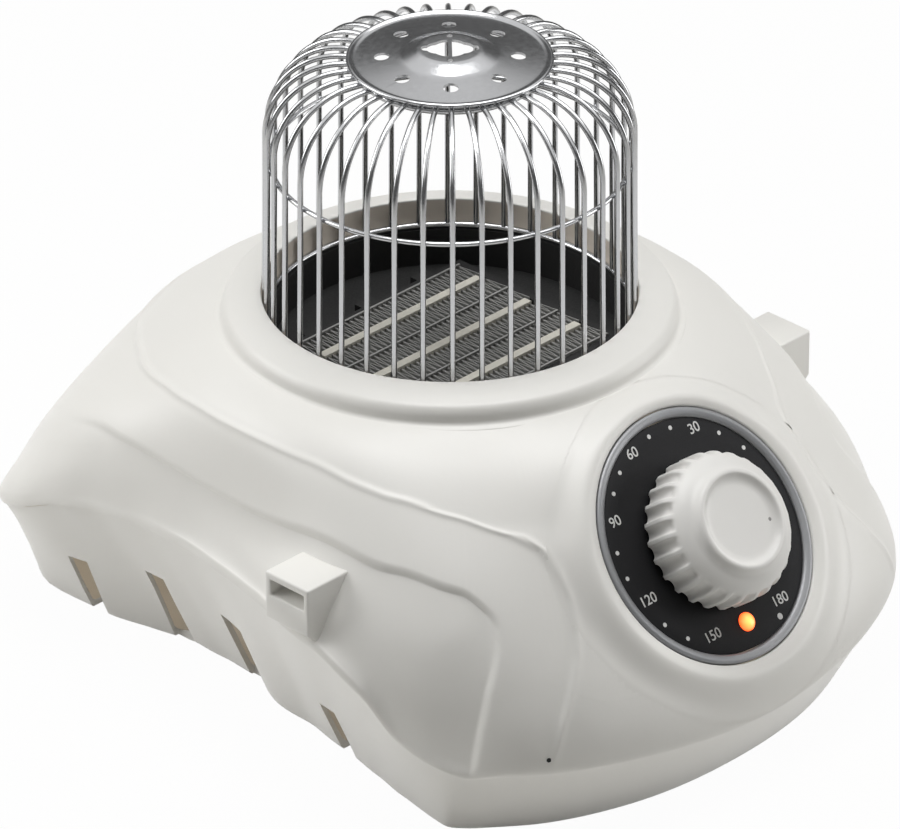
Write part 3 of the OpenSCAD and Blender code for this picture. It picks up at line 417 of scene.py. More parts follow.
def bent(start, corner, end, t):
    """A short curve from start to end that leans to a corner point."""
    t = t[None, :, None]
    return ((1 - t) ** 2 * start[:, None] + 2 * t * (1 - t) * corner[:, None]
            + t * t * end[:, None])


def cover_profiles(angles):
    """Outer profile of the cover at each angle: array [angle, sample, (radius, height)]."""
    a = folded(angles)
    n = len(a)
    foot = np.repeat([CROWN_FOOT], n, 0)
    shoulder = np.stack([along(SHOULDER, a), along(SHOULDER, a, 2)], -1)
    rim = np.stack([along(RIM, a), along(RIM, a, 2)], -1)
    hip = np.stack([lerp(shoulder[:, 0], rim[:, 0], along(HIP, a)),
                    lerp(shoulder[:, 1], rim[:, 1], along(HIP, a, 2))], -1)
    roll = rim + ROLL_TOP

    crown_bulge = np.stack([np.zeros(n), CROWN_LIFT * (shoulder[:, 0] - foot[:, 0])], -1)
    belt_bulge = np.repeat([BELT_BULGE], n, 0)
    panel_middle = lerp(hip, rim, 0.5) + along(PANEL, a)[:, None] * PANEL_OUT
    panel_bulge = panel_middle - lerp(hip, roll, 0.5)

    # Each stretch ends a little before its crease, and a short curve rounds the crease
    crown_length = np.linalg.norm(shoulder - foot, axis=1)
    belt_length = np.linalg.norm(hip - shoulder, axis=1)
    panel_length = np.linalg.norm(roll - hip, axis=1)
    shoulder_round = lerp(7.0, 1.7, along(CREST, a))
    hip_round = lerp(9.0, 2.0, along(STEP, a))
    crown = bowed(foot, shoulder, crown_bulge, 1 - (1 - np.linspace(0, 1, N_A)) ** 1.7,
                  np.zeros(n), 1 - shoulder_round / crown_length)
    belt = bowed(shoulder, hip, belt_bulge, 0.5 - 0.5 * np.cos(np.pi * np.linspace(0, 1, N_B)),
                 shoulder_round / belt_length, 1 - hip_round / belt_length)
    panel = bowed(hip, roll, panel_bulge, np.linspace(0, 1, N_C) ** 1.5,
                  hip_round / panel_length, np.ones(n))
    shoulder_curve = bent(crown[:, -1], shoulder, belt[:, 0], np.linspace(0, 1, N_F1 + 2)[1:-1])
    hip_curve = bent(belt[:, -1], hip, panel[:, 0], np.linspace(0, 1, N_F2 + 2)[1:-1])
    rolled_rim = bent(panel[:, -1], rim + ROLL_BEND, rim, np.linspace(0, 1, N_R + 1)[1:])
    return np.concatenate([crown, shoulder_curve, belt, hip_curve, panel, rolled_rim], 1)


def polar(prof, angles):
    """Profiles of (radius, height) set round the axis; angle 0 looks to the front."""
    th = np.radians(angles)[:, None]
    return np.stack([-prof[..., 0] * np.sin(th), -prof[..., 0] * np.cos(th), prof[..., 1]], -1)


def normals_of(grid):
    """Unit normals of a closed grid, pointing out of the body."""
    du = np.roll(grid, -1, 0) - np.roll(grid, 1, 0)
    dv = np.gradient(grid, axis=1)
    nrm = np.cross(dv, du)
    nrm /= np.linalg.norm(nrm, axis=-1, keepdims=True) + 1e-12
    flip = ((grid - [0, 0, 40]) * nrm).sum(-1) < 0
    nrm[flip] *= -1
    return nrm


# Angles round the body, closest together at the front corners
half = np.concatenate([np.arange(0, 24, 0.8), np.arange(24, 50, 0.3), np.arange(50, 180, 0.9),
                       [180]])
ANGLES = np.concatenate([half, 360 - half[-2:0:-1]])
PROF = cover_profiles(ANGLES)
HEIGHT = PROF[..., 1]
FOLD = folded(ANGLES)
# Length along each profile from the collar, in mm
seg = np.linalg.norm(np.diff(PROF, axis=1), axis=-1)
run = np.concatenate([np.zeros((len(ANGLES), 1)), np.cumsum(seg, 1)], 1)

# How far below its row, in mm, each line is drawn: [angle, offset]
# These rows, and those of CREST_END, are rounded from what another program printed
SHOULDER_LINE = np.array([[0, 0.3], [40, 0.3], [48, 1.2], [57, 0.2], [70, 0.1], [90, 1.6],
                          [110, 2.2], [127, 0.3], [180, 1]])
HIP_LINE = np.array([[0, -1], [40, -1], [43, 0], [47.5, 1.5], [54, 0.6], [66, -1.6], [78, 0.3],
                     [91, 1.4], [108, 0.6], [120, 0.2], [129, -1.8], [180, -1.8]])
shoulder_run = run[:, N_A + N_F1 // 2] + along(SHOULDER_LINE, FOLD)
hip_run = run[:, N_A + N_F1 + N_B + N_F2 // 2] + along(HIP_LINE, FOLD)

# The lower flank panel is sunk: it lies below the hip line and behind its front end.
# Front end: [height, angle]. Distances are in mm.
STEP_DEPTH, STEP_WIDTH, STEP_ROUNDING = 1.55, 3.4, 5.0
FRONT_END = np.array([[30, 43.4], [38, 43.2], [50, 42.3], [62, 41.2], [74, 39.5], [84, 38.9],
                      [110, 38.9]])
below = run - hip_run[:, None]
end_angle = np.interp(HEIGHT, FRONT_END[:, 0], FRONT_END[:, 1])
behind = np.radians(FOLD[:, None] - end_angle) * PROF[..., 0]
inside = both(behind, below, STEP_ROUNDING)
roll_in = np.clip((inside + STEP_WIDTH) / STEP_WIDTH, 0, 1) ** 2
step_depth = STEP_DEPTH * along(STEP, FOLD)[:, None] * roll_in * (
    0.35 + 0.65 * (1 - smoothstep(inside, 3.0, 26.0)))

# The front panel stands a little proud of the belt beside it. Its edge: [height, angle].
PANEL_PROUD = 0.75
CREST_END = np.array([[30, 33.2], [40, 32.8], [50, 31.7], [59, 30], [68, 28.4], [75, 27.9],
                      [84, 27.9], [91, 28.8], [97, 30.7], [101.5, 33.6], [105, 39.8],
                      [108.6, 47.7]])
crest_angle = np.interp(HEIGHT, CREST_END[:, 0], CREST_END[:, 1])
ahead = np.radians(crest_angle - FOLD[:, None]) * PROF[..., 0]
crest_fade = smoothstep(HEIGHT, 36, 58) * (1 - smoothstep(HEIGHT, 96, 106))
proud = PANEL_PROUD * crest_fade * smoothstep(ahead, -1.0, 1.0) * (1 - smoothstep(ahead, 4.0, 26.0))

# A fine raised line follows the shoulder, and turns down beside the front panel
LINE_HEIGHT, LINE_HEIGHT_FRONT, LINE_HEIGHT_REAR = 0.44, 0.66, 0.94
LINE_WIDTH, LINE_WIDTH_FRONT, LINE_ROUNDING = 1.35, 1.7, 8.0
belt_in = both(-ahead, run - shoulder_run[:, None], LINE_ROUNDING)
line_strength = np.where(FOLD[:, None] > 50, 1.0, smoothstep(HEIGHT, 31, 44))
on_flank = smoothstep(FOLD[:, None], 32, 44)
line_height = lerp(LINE_HEIGHT_FRONT, LINE_HEIGHT, on_flank)
line_height += (LINE_HEIGHT_REAR - LINE_HEIGHT) * smoothstep(FOLD[:, None], 108, 130)
line_width = lerp(LINE_WIDTH_FRONT, LINE_WIDTH, on_flank)
proud = proud + line_height * line_strength * np.exp(-(belt_in / line_width) ** 2)


def softened(points, share, angles, spread_up, spread_round):
    """The moulded skin flows: its broad form is evened out, and its rim stays as it is.

    The change is found on an even grid, one row for each degree, and carried to the points."""
    rounds, steps = np.arange(0, 360, 1.0), np.linspace(0, 1, 121)
    wide = np.concatenate([angles - 360, angles, angles + 360])
    even = np.zeros((len(rounds), len(steps), 3))
    for c in range(3):
        rows = np.stack([np.interp(steps, share[i], points[i, :, c]) for i in range(len(angles))])
        for j in range(len(steps)):
            even[:, j, c] = np.interp(rounds, wide, np.tile(rows[:, j], 3))

    def bell(s):
        x = np.arange(-int(3 * s), int(3 * s) + 1)
        w = np.exp(-x * x / (2 * s * s))
        return w / w.sum()

    b_round, b_up = bell(spread_round), bell(spread_up)
    h_round, h_up = len(b_round) // 2, len(b_up) // 2

    def blur(g):
        g = sum(w * np.roll(g, i - h_round, 0) for i, w in enumerate(b_round))
        before = 2 * g[:, :1] - g[:, h_up:0:-1]
        after = 2 * g[:, -1:] - g[:, -2:-2 - h_up:-1]
        g = np.concatenate([before, g, after], 1)
        return sum(w * g[:, i:i + len(steps)] for i, w in enumerate(b_up))

    soft = blur(even)
    soft = soft + blur(even - soft)
    change = soft - even
    j = np.clip(share * (len(steps) - 1), 0, len(steps) - 1.001)
    j0 = j.astype(int)
    i0 = np.floor(angles).astype(int) % 360
    ti, tj = (angles % 1)[:, None, None], (j - j0)[..., None]
    i1 = (i0 + 1) % 360
    c0 = lerp(change[i0[:, None], j0], change[i0[:, None], j0 + 1], tj)
    c1 = lerp(change[i1[:, None], j0], change[i1[:, None], j0 + 1], tj)
    fold = folded(angles)[:, None]
    beside_corner = smoothstep(fold, 36, 46) * (1 - smoothstep(fold, 74, 96))
    keep = 1 - smoothstep(share, 0.74 + 0.1 * beside_corner, 0.93 + 0.055 * beside_corner)
    keep = keep * smoothstep(share, 0.0, 0.12)
    return points + lerp(c0, c1, ti) * keep[..., None]


# The skin's foremost place, in mm: the solids end at -155.8
FRONT_LIMIT = -155.75
BASE = softened(polar(PROF, ANGLES), run / run[:, -1:], ANGLES, 11.0, 9.0)
NRM = normals_of(BASE)
off_rim = smoothstep(run[:, -1:] - run, 0.5, 7.0)
COVER = BASE + NRM * ((proud - step_depth) * off_rim)[..., None]
COVER[..., 1] = np.maximum(COVER[..., 1], FRONT_LIMIT)

# ------------------------------------ dial frame
# The dial's frame: x to the right on its face, y up the face, z out of it
DIAL = Matrix.Translation((0, -121.9, 85.5)) @ Matrix.Rotation(math.radians(52), 4, "X")
D_ROT = np.array(DIAL)[:3, :3]
D_POS = np.array(DIAL)[:3, 3]
LAMP_DOWN = 33
LAMP_CENTRE = tuple((D_POS + D_ROT @ np.array([0, -LAMP_DOWN, 0.6])) * MM)
M_LENS = lens_material()


def to_dial(p):
    return (p - D_POS) @ D_ROT


def from_dial(p):
    return p @ D_ROT.T + D_POS


cover_d = to_dial(COVER)
front = np.where(FOLD < 62)[0]
order = front[np.argsort(np.where(ANGLES[front] > 180, ANGLES[front] - 360, ANGLES[front]))]
cover_tree = BVHTree.FromPolygons([tuple(p) for p in cover_d[order].reshape(-1, 3)],
                                  grid_faces(len(order), cover_d.shape[1]).tolist())


def cover_height(radius, angle):
    """Height of the cover over the dial's plane, at a place on a circle round the dial."""
    place = Vector((radius * math.cos(angle), radius * math.sin(angle), 60))
    hit = cover_tree.ray_cast(place, Vector((0, 0, -1)))[0]
    return -20.0 if hit is None else hit.z


# The bead rises round the dial and flows out into the cover, sooner at its top
BEAD_RINGS, BEAD_IN = 46, 46.7
N_PHI = 240
PHI = np.linspace(0, 2 * np.pi, N_PHI, endpoint=False)
upward = smoothstep(np.sin(PHI), 0.15, 0.85)
blend_start = lerp(50.3, 46.6, upward)
blend_end = lerp(63.5, 56.5, upward)
PATCH_END = blend_end + 3.5
patch = []
inner_wall = [(-2.0, 46.05), (0.2, 46.05), (0.75, 46.25)]
for z, r in inner_wall:
    patch.append(np.stack([r * np.cos(PHI), r * np.sin(PHI), np.full(N_PHI, z)], -1))
for t in np.linspace(0, 1, BEAD_RINGS):
    r = lerp(BEAD_IN, PATCH_END, t)
    h = np.array([cover_height(radius, angle) for radius, angle in zip(r, PHI)])
    bead = 0.8 + 1.0 * np.sin(np.clip((r - 46.2) / 4.4, 0, 1) * np.pi * 0.5)
    bead = bead - 0.10 * np.clip(r - 50.6, 0, None) ** 1.6
    w = smoothstep(r, blend_start, blend_end)
    z = lerp(bead, h, w) - 0.12 * smoothstep(r, blend_end, PATCH_END)
    patch.append(np.stack([r * np.cos(PHI), r * np.sin(PHI), z], -1))
patch = np.array(patch)
# Soften along the rings, so that the patch flows
for _ in range(3):
    soft = (np.roll(patch, 1, 1) + 2 * patch + np.roll(patch, -1, 1)) / 4
    patch[3:-4] = soft[3:-4]
pts = from_dial(patch.reshape(-1, 3))
pts[:, 1] = np.maximum(pts[:, 1], FRONT_LIMIT)
dial_bead = add("dial_bead", pts, grid_faces(patch.shape[0], N_PHI, False, True), sharp=60)
dial_bead.data.materials.append(M_WHITE)

# ------------------------------------ cover
COVER_WALL, WELL_R, WELL_FLOOR = 2.4, 51, -45
rad = np.hypot(cover_d[..., 0], cover_d[..., 1])
ang = np.mod(np.arctan2(cover_d[..., 1], cover_d[..., 0]), 2 * np.pi)
limit = np.interp(ang, np.append(PHI, 2 * np.pi), np.append(PATCH_END, PATCH_END[0]))
keep_pt = (rad > limit - 2.4) | (cover_d[..., 2] < WELL_FLOOR)
outer_faces = grid_faces(*COVER.shape[:2], True, False)
outer_faces = outer_faces[keep_pt.reshape(-1)[outer_faces].all(1)]
cover_skin = add("cover_skin", COVER.reshape(-1, 3), outer_faces, sharp=50)
cover_skin.data.materials.append(M_WHITE)
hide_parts("top_cover")

inner = COVER - NRM * COVER_WALL
inner[:, -1, 2] = COVER[:, -1, 2]
inner = np.concatenate([inner[:, ::3], inner[:, -1:]], 1)
inner_d = to_dial(inner)
keep_pt = (np.hypot(inner_d[..., 0], inner_d[..., 1]) > WELL_R) | (inner_d[..., 2] < WELL_FLOOR)
inner_faces = grid_faces(*inner.shape[:2], True, False)
inner_faces = inner_faces[keep_pt.reshape(-1)[inner_faces].all(1)]
lip = np.stack([COVER[:, -1], inner[:, -1]], 1)
lip_faces = grid_faces(len(lip), 2, True, False) + inner.shape[0] * inner.shape[1]
cover_inside = add("cover_inside", np.concatenate([inner.reshape(-1, 3), lip.reshape(-1, 3)]),
                   np.concatenate([inner_faces, lip_faces]), sharp=50)
# The cover's inner faces and lip carry the painted glow
cover_inside.data.materials.append(M_WHITE_IN_PAINTED_GLOW)

COLLAR_SHADE_R, COLLAR_SHADE_TOP = 66.2, 134.5
collar = rounded(
    [(66, 123.9), (66, 135.6), (68.5, 135.6), (73.2, 134.5), (78.2, 132.4), (79.6, 130.2),
     (80.2, 126.6), (82.9, 125.5), (82.9, 123.3), (78, 125), (75.5, 129.5), (70.5, 132),
     (68.6, 131.5), (68.4, 123.9)],
    [0, 0.7, 1.5, 4, 1.2, 2, 1.2, 0.8, 0, 1, 2, 2, 1, 0], 7)
collar_skin = revolve("collar_skin", collar, 220, sharp=40)
collar_skin.data.materials.append(M_WHITE)
collar_skin.data.materials.append(M_COLLAR_PAINTED_SHADE)
# Faces inside the collar, below its top, take the warm tan of painted shade
for face in collar_skin.data.polygons:
    out_from_axis = math.hypot(face.center.x, face.center.y)
    if out_from_axis < COLLAR_SHADE_R * MM and face.center.z < COLLAR_SHADE_TOP * MM:
        face.material_index = 1
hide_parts("outlet_collar")


def lug(side):
    """A box with a level top, whose sides run back into the flank, and a pocket in its face."""
    outline = [(126.8, 89.8), (126.8, 71.8), (120.8, 66.8), (104.5, 84), (104.5, 89.8)]
    pts = [(x, y, z) for y in (-56.05, -35.55) for x, z in outline]
    piece = bare("lug", pts, prism_faces(len(outline)))
    cut(piece, block("pocket", (114.8, -53.8, 81.1), (130, -37.8, 86.9)))
    bev = piece.modifiers.new("edge", "BEVEL")
    bev.width = 0.0007
    bev.segments = 3
    bev.limit_method = "ANGLE"
    apply_modifiers(piece)
    mesh = piece.data
    if side < 0:
        mesh.transform(Matrix.Scale(-1, 4, (1, 0, 0)))
        mesh.flip_normals()
    mesh.shade_smooth()
    mesh.set_sharp_from_angle(angle=math.radians(40))
    only_finish(piece, M_WHITE)
    return piece


def joined(name, parts, body="base"):
    """Several meshes as one piece."""
    bm = bmesh.new()
    for p in parts:
        bm.from_mesh(p.data)
    mesh = parts[0].data
    bm.to_mesh(mesh)
    bm.free()
    for p in parts[1:]:
        bpy.data.objects.remove(p)
    parts[0].name = name
    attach(parts[0], body)
    return parts[0]


lugs = joined("lug_pair", [lug(-1), lug(1)])
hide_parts("frame_lugs")

# ------------------------------------ tub
TUB_WALL, TUB_FLOOR, INTAKE_R = 2.4, 2.4, 58.0
TUB_ANGLES = ANGLES[::2]
tub_fold = folded(TUB_ANGLES)
rim_r, rim_z = along(RIM, tub_fold), along(RIM, tub_fold, 2)
level = np.ones(len(tub_fold))
t_rim = np.stack([rim_r - 0.9, rim_z - 0.05], -1)
t_foot = np.stack([rim_r - along(DRAFT, tub_fold) * (rim_z - FLOOR_Z), level * FLOOR_Z], -1)
# One loop of points through the wall: down the outer face, in under the floor, and back inside
outer = [lerp(t_rim, t_foot, t) for t in np.append(np.linspace(0, 1, 14)[:-1], 0.985)]
outer.append(t_foot + [-0.7, 0])
under_floor = [outer[-1] * [share, 1] for share in (0.97, 0.8, 0.6)]
intake = [np.stack([level * INTAKE_R, level * z], -1) for z in (FLOOR_Z, FLOOR_Z + TUB_FLOOR)]
on_floor = [np.stack([t_foot[:, 0] * share - TUB_WALL, level * (FLOOR_Z + TUB_FLOOR)], -1)
            for share in (0.5, 0.8, 1.0)]
in_wall = [lerp(t_foot, t_rim, t) + [-TUB_WALL, 0] for t in np.linspace(0.08, 1, 10)]
loop = np.stack(outer + under_floor + intake + on_floor + in_wall, 1)
tub = add("tub", polar(loop, TUB_ANGLES).reshape(-1, 3), grid_faces(*loop.shape[:2], True, True),
          sharp=40)
tub.data.materials.append(M_WHITE)
# The second finish, with its painted glow, goes on the tub's inner faces
tub.data.materials.append(M_WHITE_IN_PAINTED_GLOW)
for face in tub.data.polygons:
    c, d = face.center, face.normal
    if c.z > 0.004 and (c.x * d.x + c.y * d.y < 0 or d.z > 0.5):
        face.material_index = 1
# Slots: [middle, top, half width]. They are cut straight across, and open wider where the wall
# slants away
for y, top, half_w in ((92, 28, 4.0), (56, 35, 4.5), (16, 33, 6.6), (-40, 26, 4.2)):
    for x0, x1 in ((-130, -76), (76, 130)):
        cut(tub, block("slot", (x0, y - half_w, -3), (x1, y + half_w, top)))
tub.data.shade_smooth()
tub.data.set_sharp_from_angle(angle=math.radians(35))
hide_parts("base_tub")
boss = revolve("gland_boss", rounded([(6.2, -9), (6.2, 0), (11, 0), (11, -9)], [0, 0.4, 1.0, 0], 5),
               64, Matrix.Translation((0, 155, 20)) @ Matrix.Rotation(math.radians(-90), 4, "X"),
               sharp=40)
boss.data.materials.append(M_WHITE)


# ------------------------------------ wire guard
def from_curve(name, curve):
    """A piece that holds the mesh of a curve."""
    source = linked(name, curve)
    mesh = evaluated(source)
    bpy.data.objects.remove(source)
    return linked(name, mesh)


def wire_curve(name, lines, radius, cyclic=False, body="base"):
    """Round wires along lists of points in mm, as one mesh."""
    cu = bpy.data.curves.new(name, "CURVE")
    cu.dimensions = "3D"
    cu.bevel_depth = radius * MM
    cu.bevel_resolution = 4
    cu.use_fill_caps = not cyclic
    for pts in lines:
        s = cu.splines.new("POLY")
        s.points.add(len(pts) - 1)
        for q, p in zip(s.points, pts):
            q.co = (*[c * MM for c in p], 1)
        s.use_cyclic_u = cyclic
        s.use_smooth = True
    piece = from_curve(name, cu)
    mesh = piece.data
    mesh.shade_smooth()
    mesh.set_sharp_from_angle(angle=math.radians(50))
    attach(piece, body)
    return piece


WIRES, WIRE_R, GUARD_R, GUARD_FOOT, GUARD_TOP = 40, 1.0, 64.7, 126.9, 224.0
# The wires lean in by this much on their way up, and turn over on a bend of this radius
GUARD_LEAN = ((145, 0.2), (165, 0.5), (185, 0.7))
BEND_LEAN, BEND_R, WIRE_END_R = 0.8, 27.0, 30.2
side_line = [(GUARD_R, GUARD_FOOT)] + [(GUARD_R - lean, z) for z, lean in GUARD_LEAN]
side_line += [(GUARD_R - BEND_LEAN - BEND_R * (1 - math.cos(t)), GUARD_TOP - BEND_R * (1 - math.sin(t)))
              for t in np.radians(np.linspace(0, 90, 19))]
side_line.append((WIRE_END_R, GUARD_TOP))
turns = [math.radians(i * 360 / WIRES) for i in range(WIRES)]
wires = wire_curve("guard_wire_set", [[(r * math.cos(a), r * math.sin(a), z) for r, z in side_line]
                                      for a in turns], WIRE_R)
only_finish(wires, M_WIRE)
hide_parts("guard_wires")


def ring(name, r, z, d, node):
    a = np.linspace(0, 2 * np.pi, 160, endpoint=False)
    piece = wire_curve(name, [[(r * math.cos(t), r * math.sin(t), z) for t in a]], d / 2, True)
    only_finish(piece, M_WIRE)
    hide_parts(node)


ring("base_ring", 64.7, 125.8, 2.4, "guard_base_ring")
ring("mid_ring", 62.3, 187, 1.8, "guard_mid_ring")
ring("top_ring", 31.5, 221.95, 2.4, "guard_top_ring")

CAP_Z, CAP_HOLES, CAP_HOLE_R, CAP_HOLE_CIRCLE = 224.925, 8, 2.7, 23.5
cap_profile = rounded(
    [(0, 4), (10.8, 4), (12.6, 3.2), (16.4, 1.7), (18, 1.5), (33.8, 0), (34.6, 0), (35.9, 0.5),
     (35.9, 1.5), (34.9, 1.9), (33.9, 1.1), (33.0, 0.9), (31.8, 1.023), (19.6, 2.277),
     (18.4, 2.4), (17.0, 2.6), (13.2, 4.2), (11.2, 5.0), (0, 5)],
    [0, 1.5, 1.5, 1.2, 1.5, 0.3, 0.3, 0.6, 0.6, 0.6, 0.4, 0.4, 0, 0, 0.8, 0.6, 1.6, 1.6, 0], 5)
cap = revolve("stamped_cap", cap_profile, 160, Matrix.Translation((0, 0, CAP_Z)), closed=False,
              sharp=60)
for i in range(CAP_HOLES):
    a = 2 * math.pi * i / CAP_HOLES
    cut(cap, drum("hole", CAP_HOLE_R, CAP_Z - 2, CAP_Z + 3, CAP_HOLE_CIRCLE * math.cos(a),
                  CAP_HOLE_CIRCLE * math.sin(a)))


BAR_HALF, NOTCH_R, NOTCH_OUT = 0.7, 1.1, 9.2
# Round lobes of the cap's opening: [distance of the centre, radius]
LOBES = ((0, 6.4), (4.2, 4.2), (8.2, 1.9))


def lobe_outline(side, n=90):
    """One half of the opening: round lobes in a row, ending at the bar that stays."""
    t = np.radians(np.linspace(-84, 84, n))
    reach = np.zeros(n)
    for centre, r in LOBES:
        across = centre * np.sin(t)
        chord = np.sqrt(np.clip(r * r - across ** 2, 0, None))
        reach = np.maximum(reach, np.where(r > np.abs(across), centre * np.cos(t) + chord, 0))
    x, y = reach * np.cos(t), reach * np.sin(t)
    clear = x > BAR_HALF + 0.05
    end = math.sqrt(LOBES[0][1] ** 2 - BAR_HALF ** 2)
    x = np.concatenate([[BAR_HALF], x[clear], [BAR_HALF]])
    y = np.concatenate([[-end], y[clear], [end]])
    return np.stack([side * x, y], 1)


def diagonal(xy):
    """Points turned by an eighth of a turn: the bar stands across the corners."""
    c = math.sqrt(0.5)
    return [((x + y) * c, (y - x) * c) for x, y in xy]


for side in (-1, 1):
    lobe = diagonal(lobe_outline(side))
    lobe_pts = [(x, y, z) for z in (CAP_Z + 2, CAP_Z + 8) for x, y in lobe]
    cut(cap, bare("lobe", lobe_pts, prism_faces(len(lobe))))
    x, y = diagonal([(0, side * NOTCH_OUT)])[0]
    cut(cap, drum("notch", NOTCH_R, CAP_Z + 2, CAP_Z + 8, x, y, 24))
only_finish(cap, M_CAP)
cap.data.shade_smooth()
cap.data.set_sharp_from_angle(angle=math.radians(40))
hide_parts("guard_cap")

# A small dark dot low on the front corner
DOT_ANGLE, DOT_Z, DOT_R, DOT_PROUD, DOT_POINTS = 33.7, 38.2, 0.85, 0.12, 16
di = int(np.abs(ANGLES - DOT_ANGLE).argmin())
dj = int(np.abs(HEIGHT[di] - DOT_Z).argmin())
dot_out = NRM[di, dj]
dot_x = np.cross(dot_out, [0, 0, 1])
dot_x /= np.linalg.norm(dot_x)
dot_y = np.cross(dot_out, dot_x)
dot_turns = np.linspace(0, 2 * math.pi, DOT_POINTS, endpoint=False)
dot_ring = [COVER[di, dj] + DOT_PROUD * dot_out + DOT_R * (dot_x * math.cos(t) + dot_y * math.sin(t))
            for t in dot_turns]
corner_dot = add("corner_dot", dot_ring, [list(range(DOT_POINTS - 1, -1, -1))], smooth=False)
corner_dot.data.materials.append(M_DUCT)

# ------------------------------------ dial, knob, lamp
plate = revolve("dial_face", [(5.2, -2), (5.2, -0.02), (12, -0.02), (24, -0.02), (36, -0.02),
                              (41.9, -0.02), (42, -0.1), (42, -2)], 160, DIAL, sharp=40)
lamp_hole = drum("hole", 3.4, -5, 5, 0, -LAMP_DOWN)
placed(lamp_hole.data, DIAL)
cut(plate, lamp_hole)
only_finish(plate, M_DIAL)
plate.data.set_sharp_from_angle(angle=math.radians(40))
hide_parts("dial_plate")

bezel = revolve("bezel", rounded(
    [(42.2, -2), (42.2, 0.2), (42.9, 0.9), (44.6, 1.35), (45.7, 0.9), (45.7, -2)],
    [0, 0.3, 0.6, 0.8, 0.5, 0], 6), 200, DIAL, sharp=50)
bezel.data.materials.append(M_BEZEL)
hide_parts("bezel_ring")


INK_Z, DOT_INK_Z, INK_SIZE = 0.02, 0.04, 5.2


def ink(name, text, x, y):
    """A printed number on the dial."""
    cu = bpy.data.curves.new(name, "FONT")
    cu.body = text
    cu.size = INK_SIZE * MM
    cu.align_x, cu.align_y = "CENTER", "CENTER"
    cu.offset = 0.00004
    cu.extrude = 0.00002
    piece = from_curve(name, cu)
    placed(piece.data, DIAL @ Matrix.Translation((x, y, INK_Z)))
    only_finish(piece, M_INK)
    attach(piece, "base")


def at(angle, r):
    return r * math.cos(math.radians(angle)), r * math.sin(math.radians(angle))


# Numbers: [text, angle, distance from the middle]. The angles of the numbers and dots were
# worked out by another program, to a tenth of a degree.
for text, angle, r in (("30", 63.7, 38.4), ("60", 109.2, 38.6), ("90", 150.6, 37.6),
                       ("120", 196.7, 36.4), ("150", 242.9, 35.6), ("180", 299.3, 36.4)):
    ink("mark_" + text, text, *at(angle, r))

# Dots: pairs between the numbers, and a larger one past the last number
ROUND = np.linspace(0, 2 * np.pi, 18, endpoint=False)
dial_marks = [(angle, 39, 0.8) for angle in (31.6, 47.9, 78.9, 94.1, 123.3, 135.8, 167.1, 180.9,
                                             211.8, 226.8)] + [(291.4, 39.6, 1.15)]
dots, dot_faces = [], []
for angle, r, size in dial_marks:
    x, y = at(angle, r)
    dot_faces.append(list(range(len(dots), len(dots) + len(ROUND))))
    dots += [(x + size * math.cos(t), y + size * math.sin(t), DOT_INK_Z) for t in ROUND]
dot_piece = add("dial_dots", from_dial(np.array(dots)), dot_faces, smooth=False)
dot_piece.data.materials.append(M_INK)

# Knob: a fluted skirt that fades into a smooth shoulder, a round ridge and a dished face
KNOB_PROFILE = rounded(
    [(24.2, 1.2), (26.3, 1.2), (27, 2.4), (27, 12.5), (25.6, 16), (22.6, 18.6), (19.6, 20.2),
     (17.9, 22.6), (16.6, 22.9), (14.9, 21.4), (13.2, 20.9), (6, 20.75), (0.05, 20.7)],
    [0.3, 0.8, 1.0, 3.5, 3.0, 2.5, 2.0, 1.2, 1.0, 1.5, 2.0, 2, 0], 7)


def dense(profile, step):
    """A polyline with a point at least every step."""
    out = [profile[0]]
    for p, q in zip(profile[:-1], profile[1:]):
        k = max(1, int(math.ceil(np.linalg.norm(q - p) / step)))
        out += [p + (q - p) * i / k for i in range(1, k + 1)]
    return np.array(out)


kp = dense(KNOB_PROFILE, 0.7)
FLUTES, FLUTE_DEPTH, FLUTE_HALF = 26, 1.9, 0.36
N_T = FLUTES * 18
kt = np.linspace(0, 2 * np.pi, N_T, endpoint=False)
phase = (kt * FLUTES / (2 * np.pi)) % 1.0
scallop = np.sqrt(np.clip(1 - ((phase - 0.5) / FLUTE_HALF) ** 2, 0, 1))
depth = FLUTE_DEPTH * smoothstep(-kp[:, 1], -17.2, -13.5) * smoothstep(kp[:, 0], 22.0, 25.5)
depth = depth * (0.55 + 0.45 * smoothstep(kp[:, 1], 0.5, 3.0))
knob_r = kp[None, :, 0] - scallop[:, None] * depth[None]
knob_pts = np.stack([knob_r * np.cos(kt)[:, None], knob_r * np.sin(kt)[:, None],
                     np.repeat(kp[None, :, 1], N_T, 0)], -1)
knob = add("fluted_knob", from_dial(knob_pts.reshape(-1, 3)),
           grid_faces(N_T, len(kp), True, False), "timer_knob", sharp=70)
knob.data.materials.append(M_KNOB)
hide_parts("control_knob")
under = revolve("knob_underside", [(24.2, 1.2), (24, 12.8), (20.5, 17), (8, 17), (8, 4.4),
                                   (3.2, 4.4)], 120, DIAL, "timer_knob", closed=False, sharp=40)
under.data.materials.append(M_KNOB)
PIP_ANGLE, PIP_R = -20, 13.0
pip = revolve("knob_pip", [(0.0, 21.02), (0.5, 21.0), (0.75, 20.9), (0.8, 20.6), (0, 20.6)], 24,
              DIAL @ Matrix.Translation((*at(PIP_ANGLE, PIP_R), 0)), "timer_knob", sharp=60)
pip.data.materials.append(material("pip_grey", (0.30, 0.29, 0.28), rough=0.5))

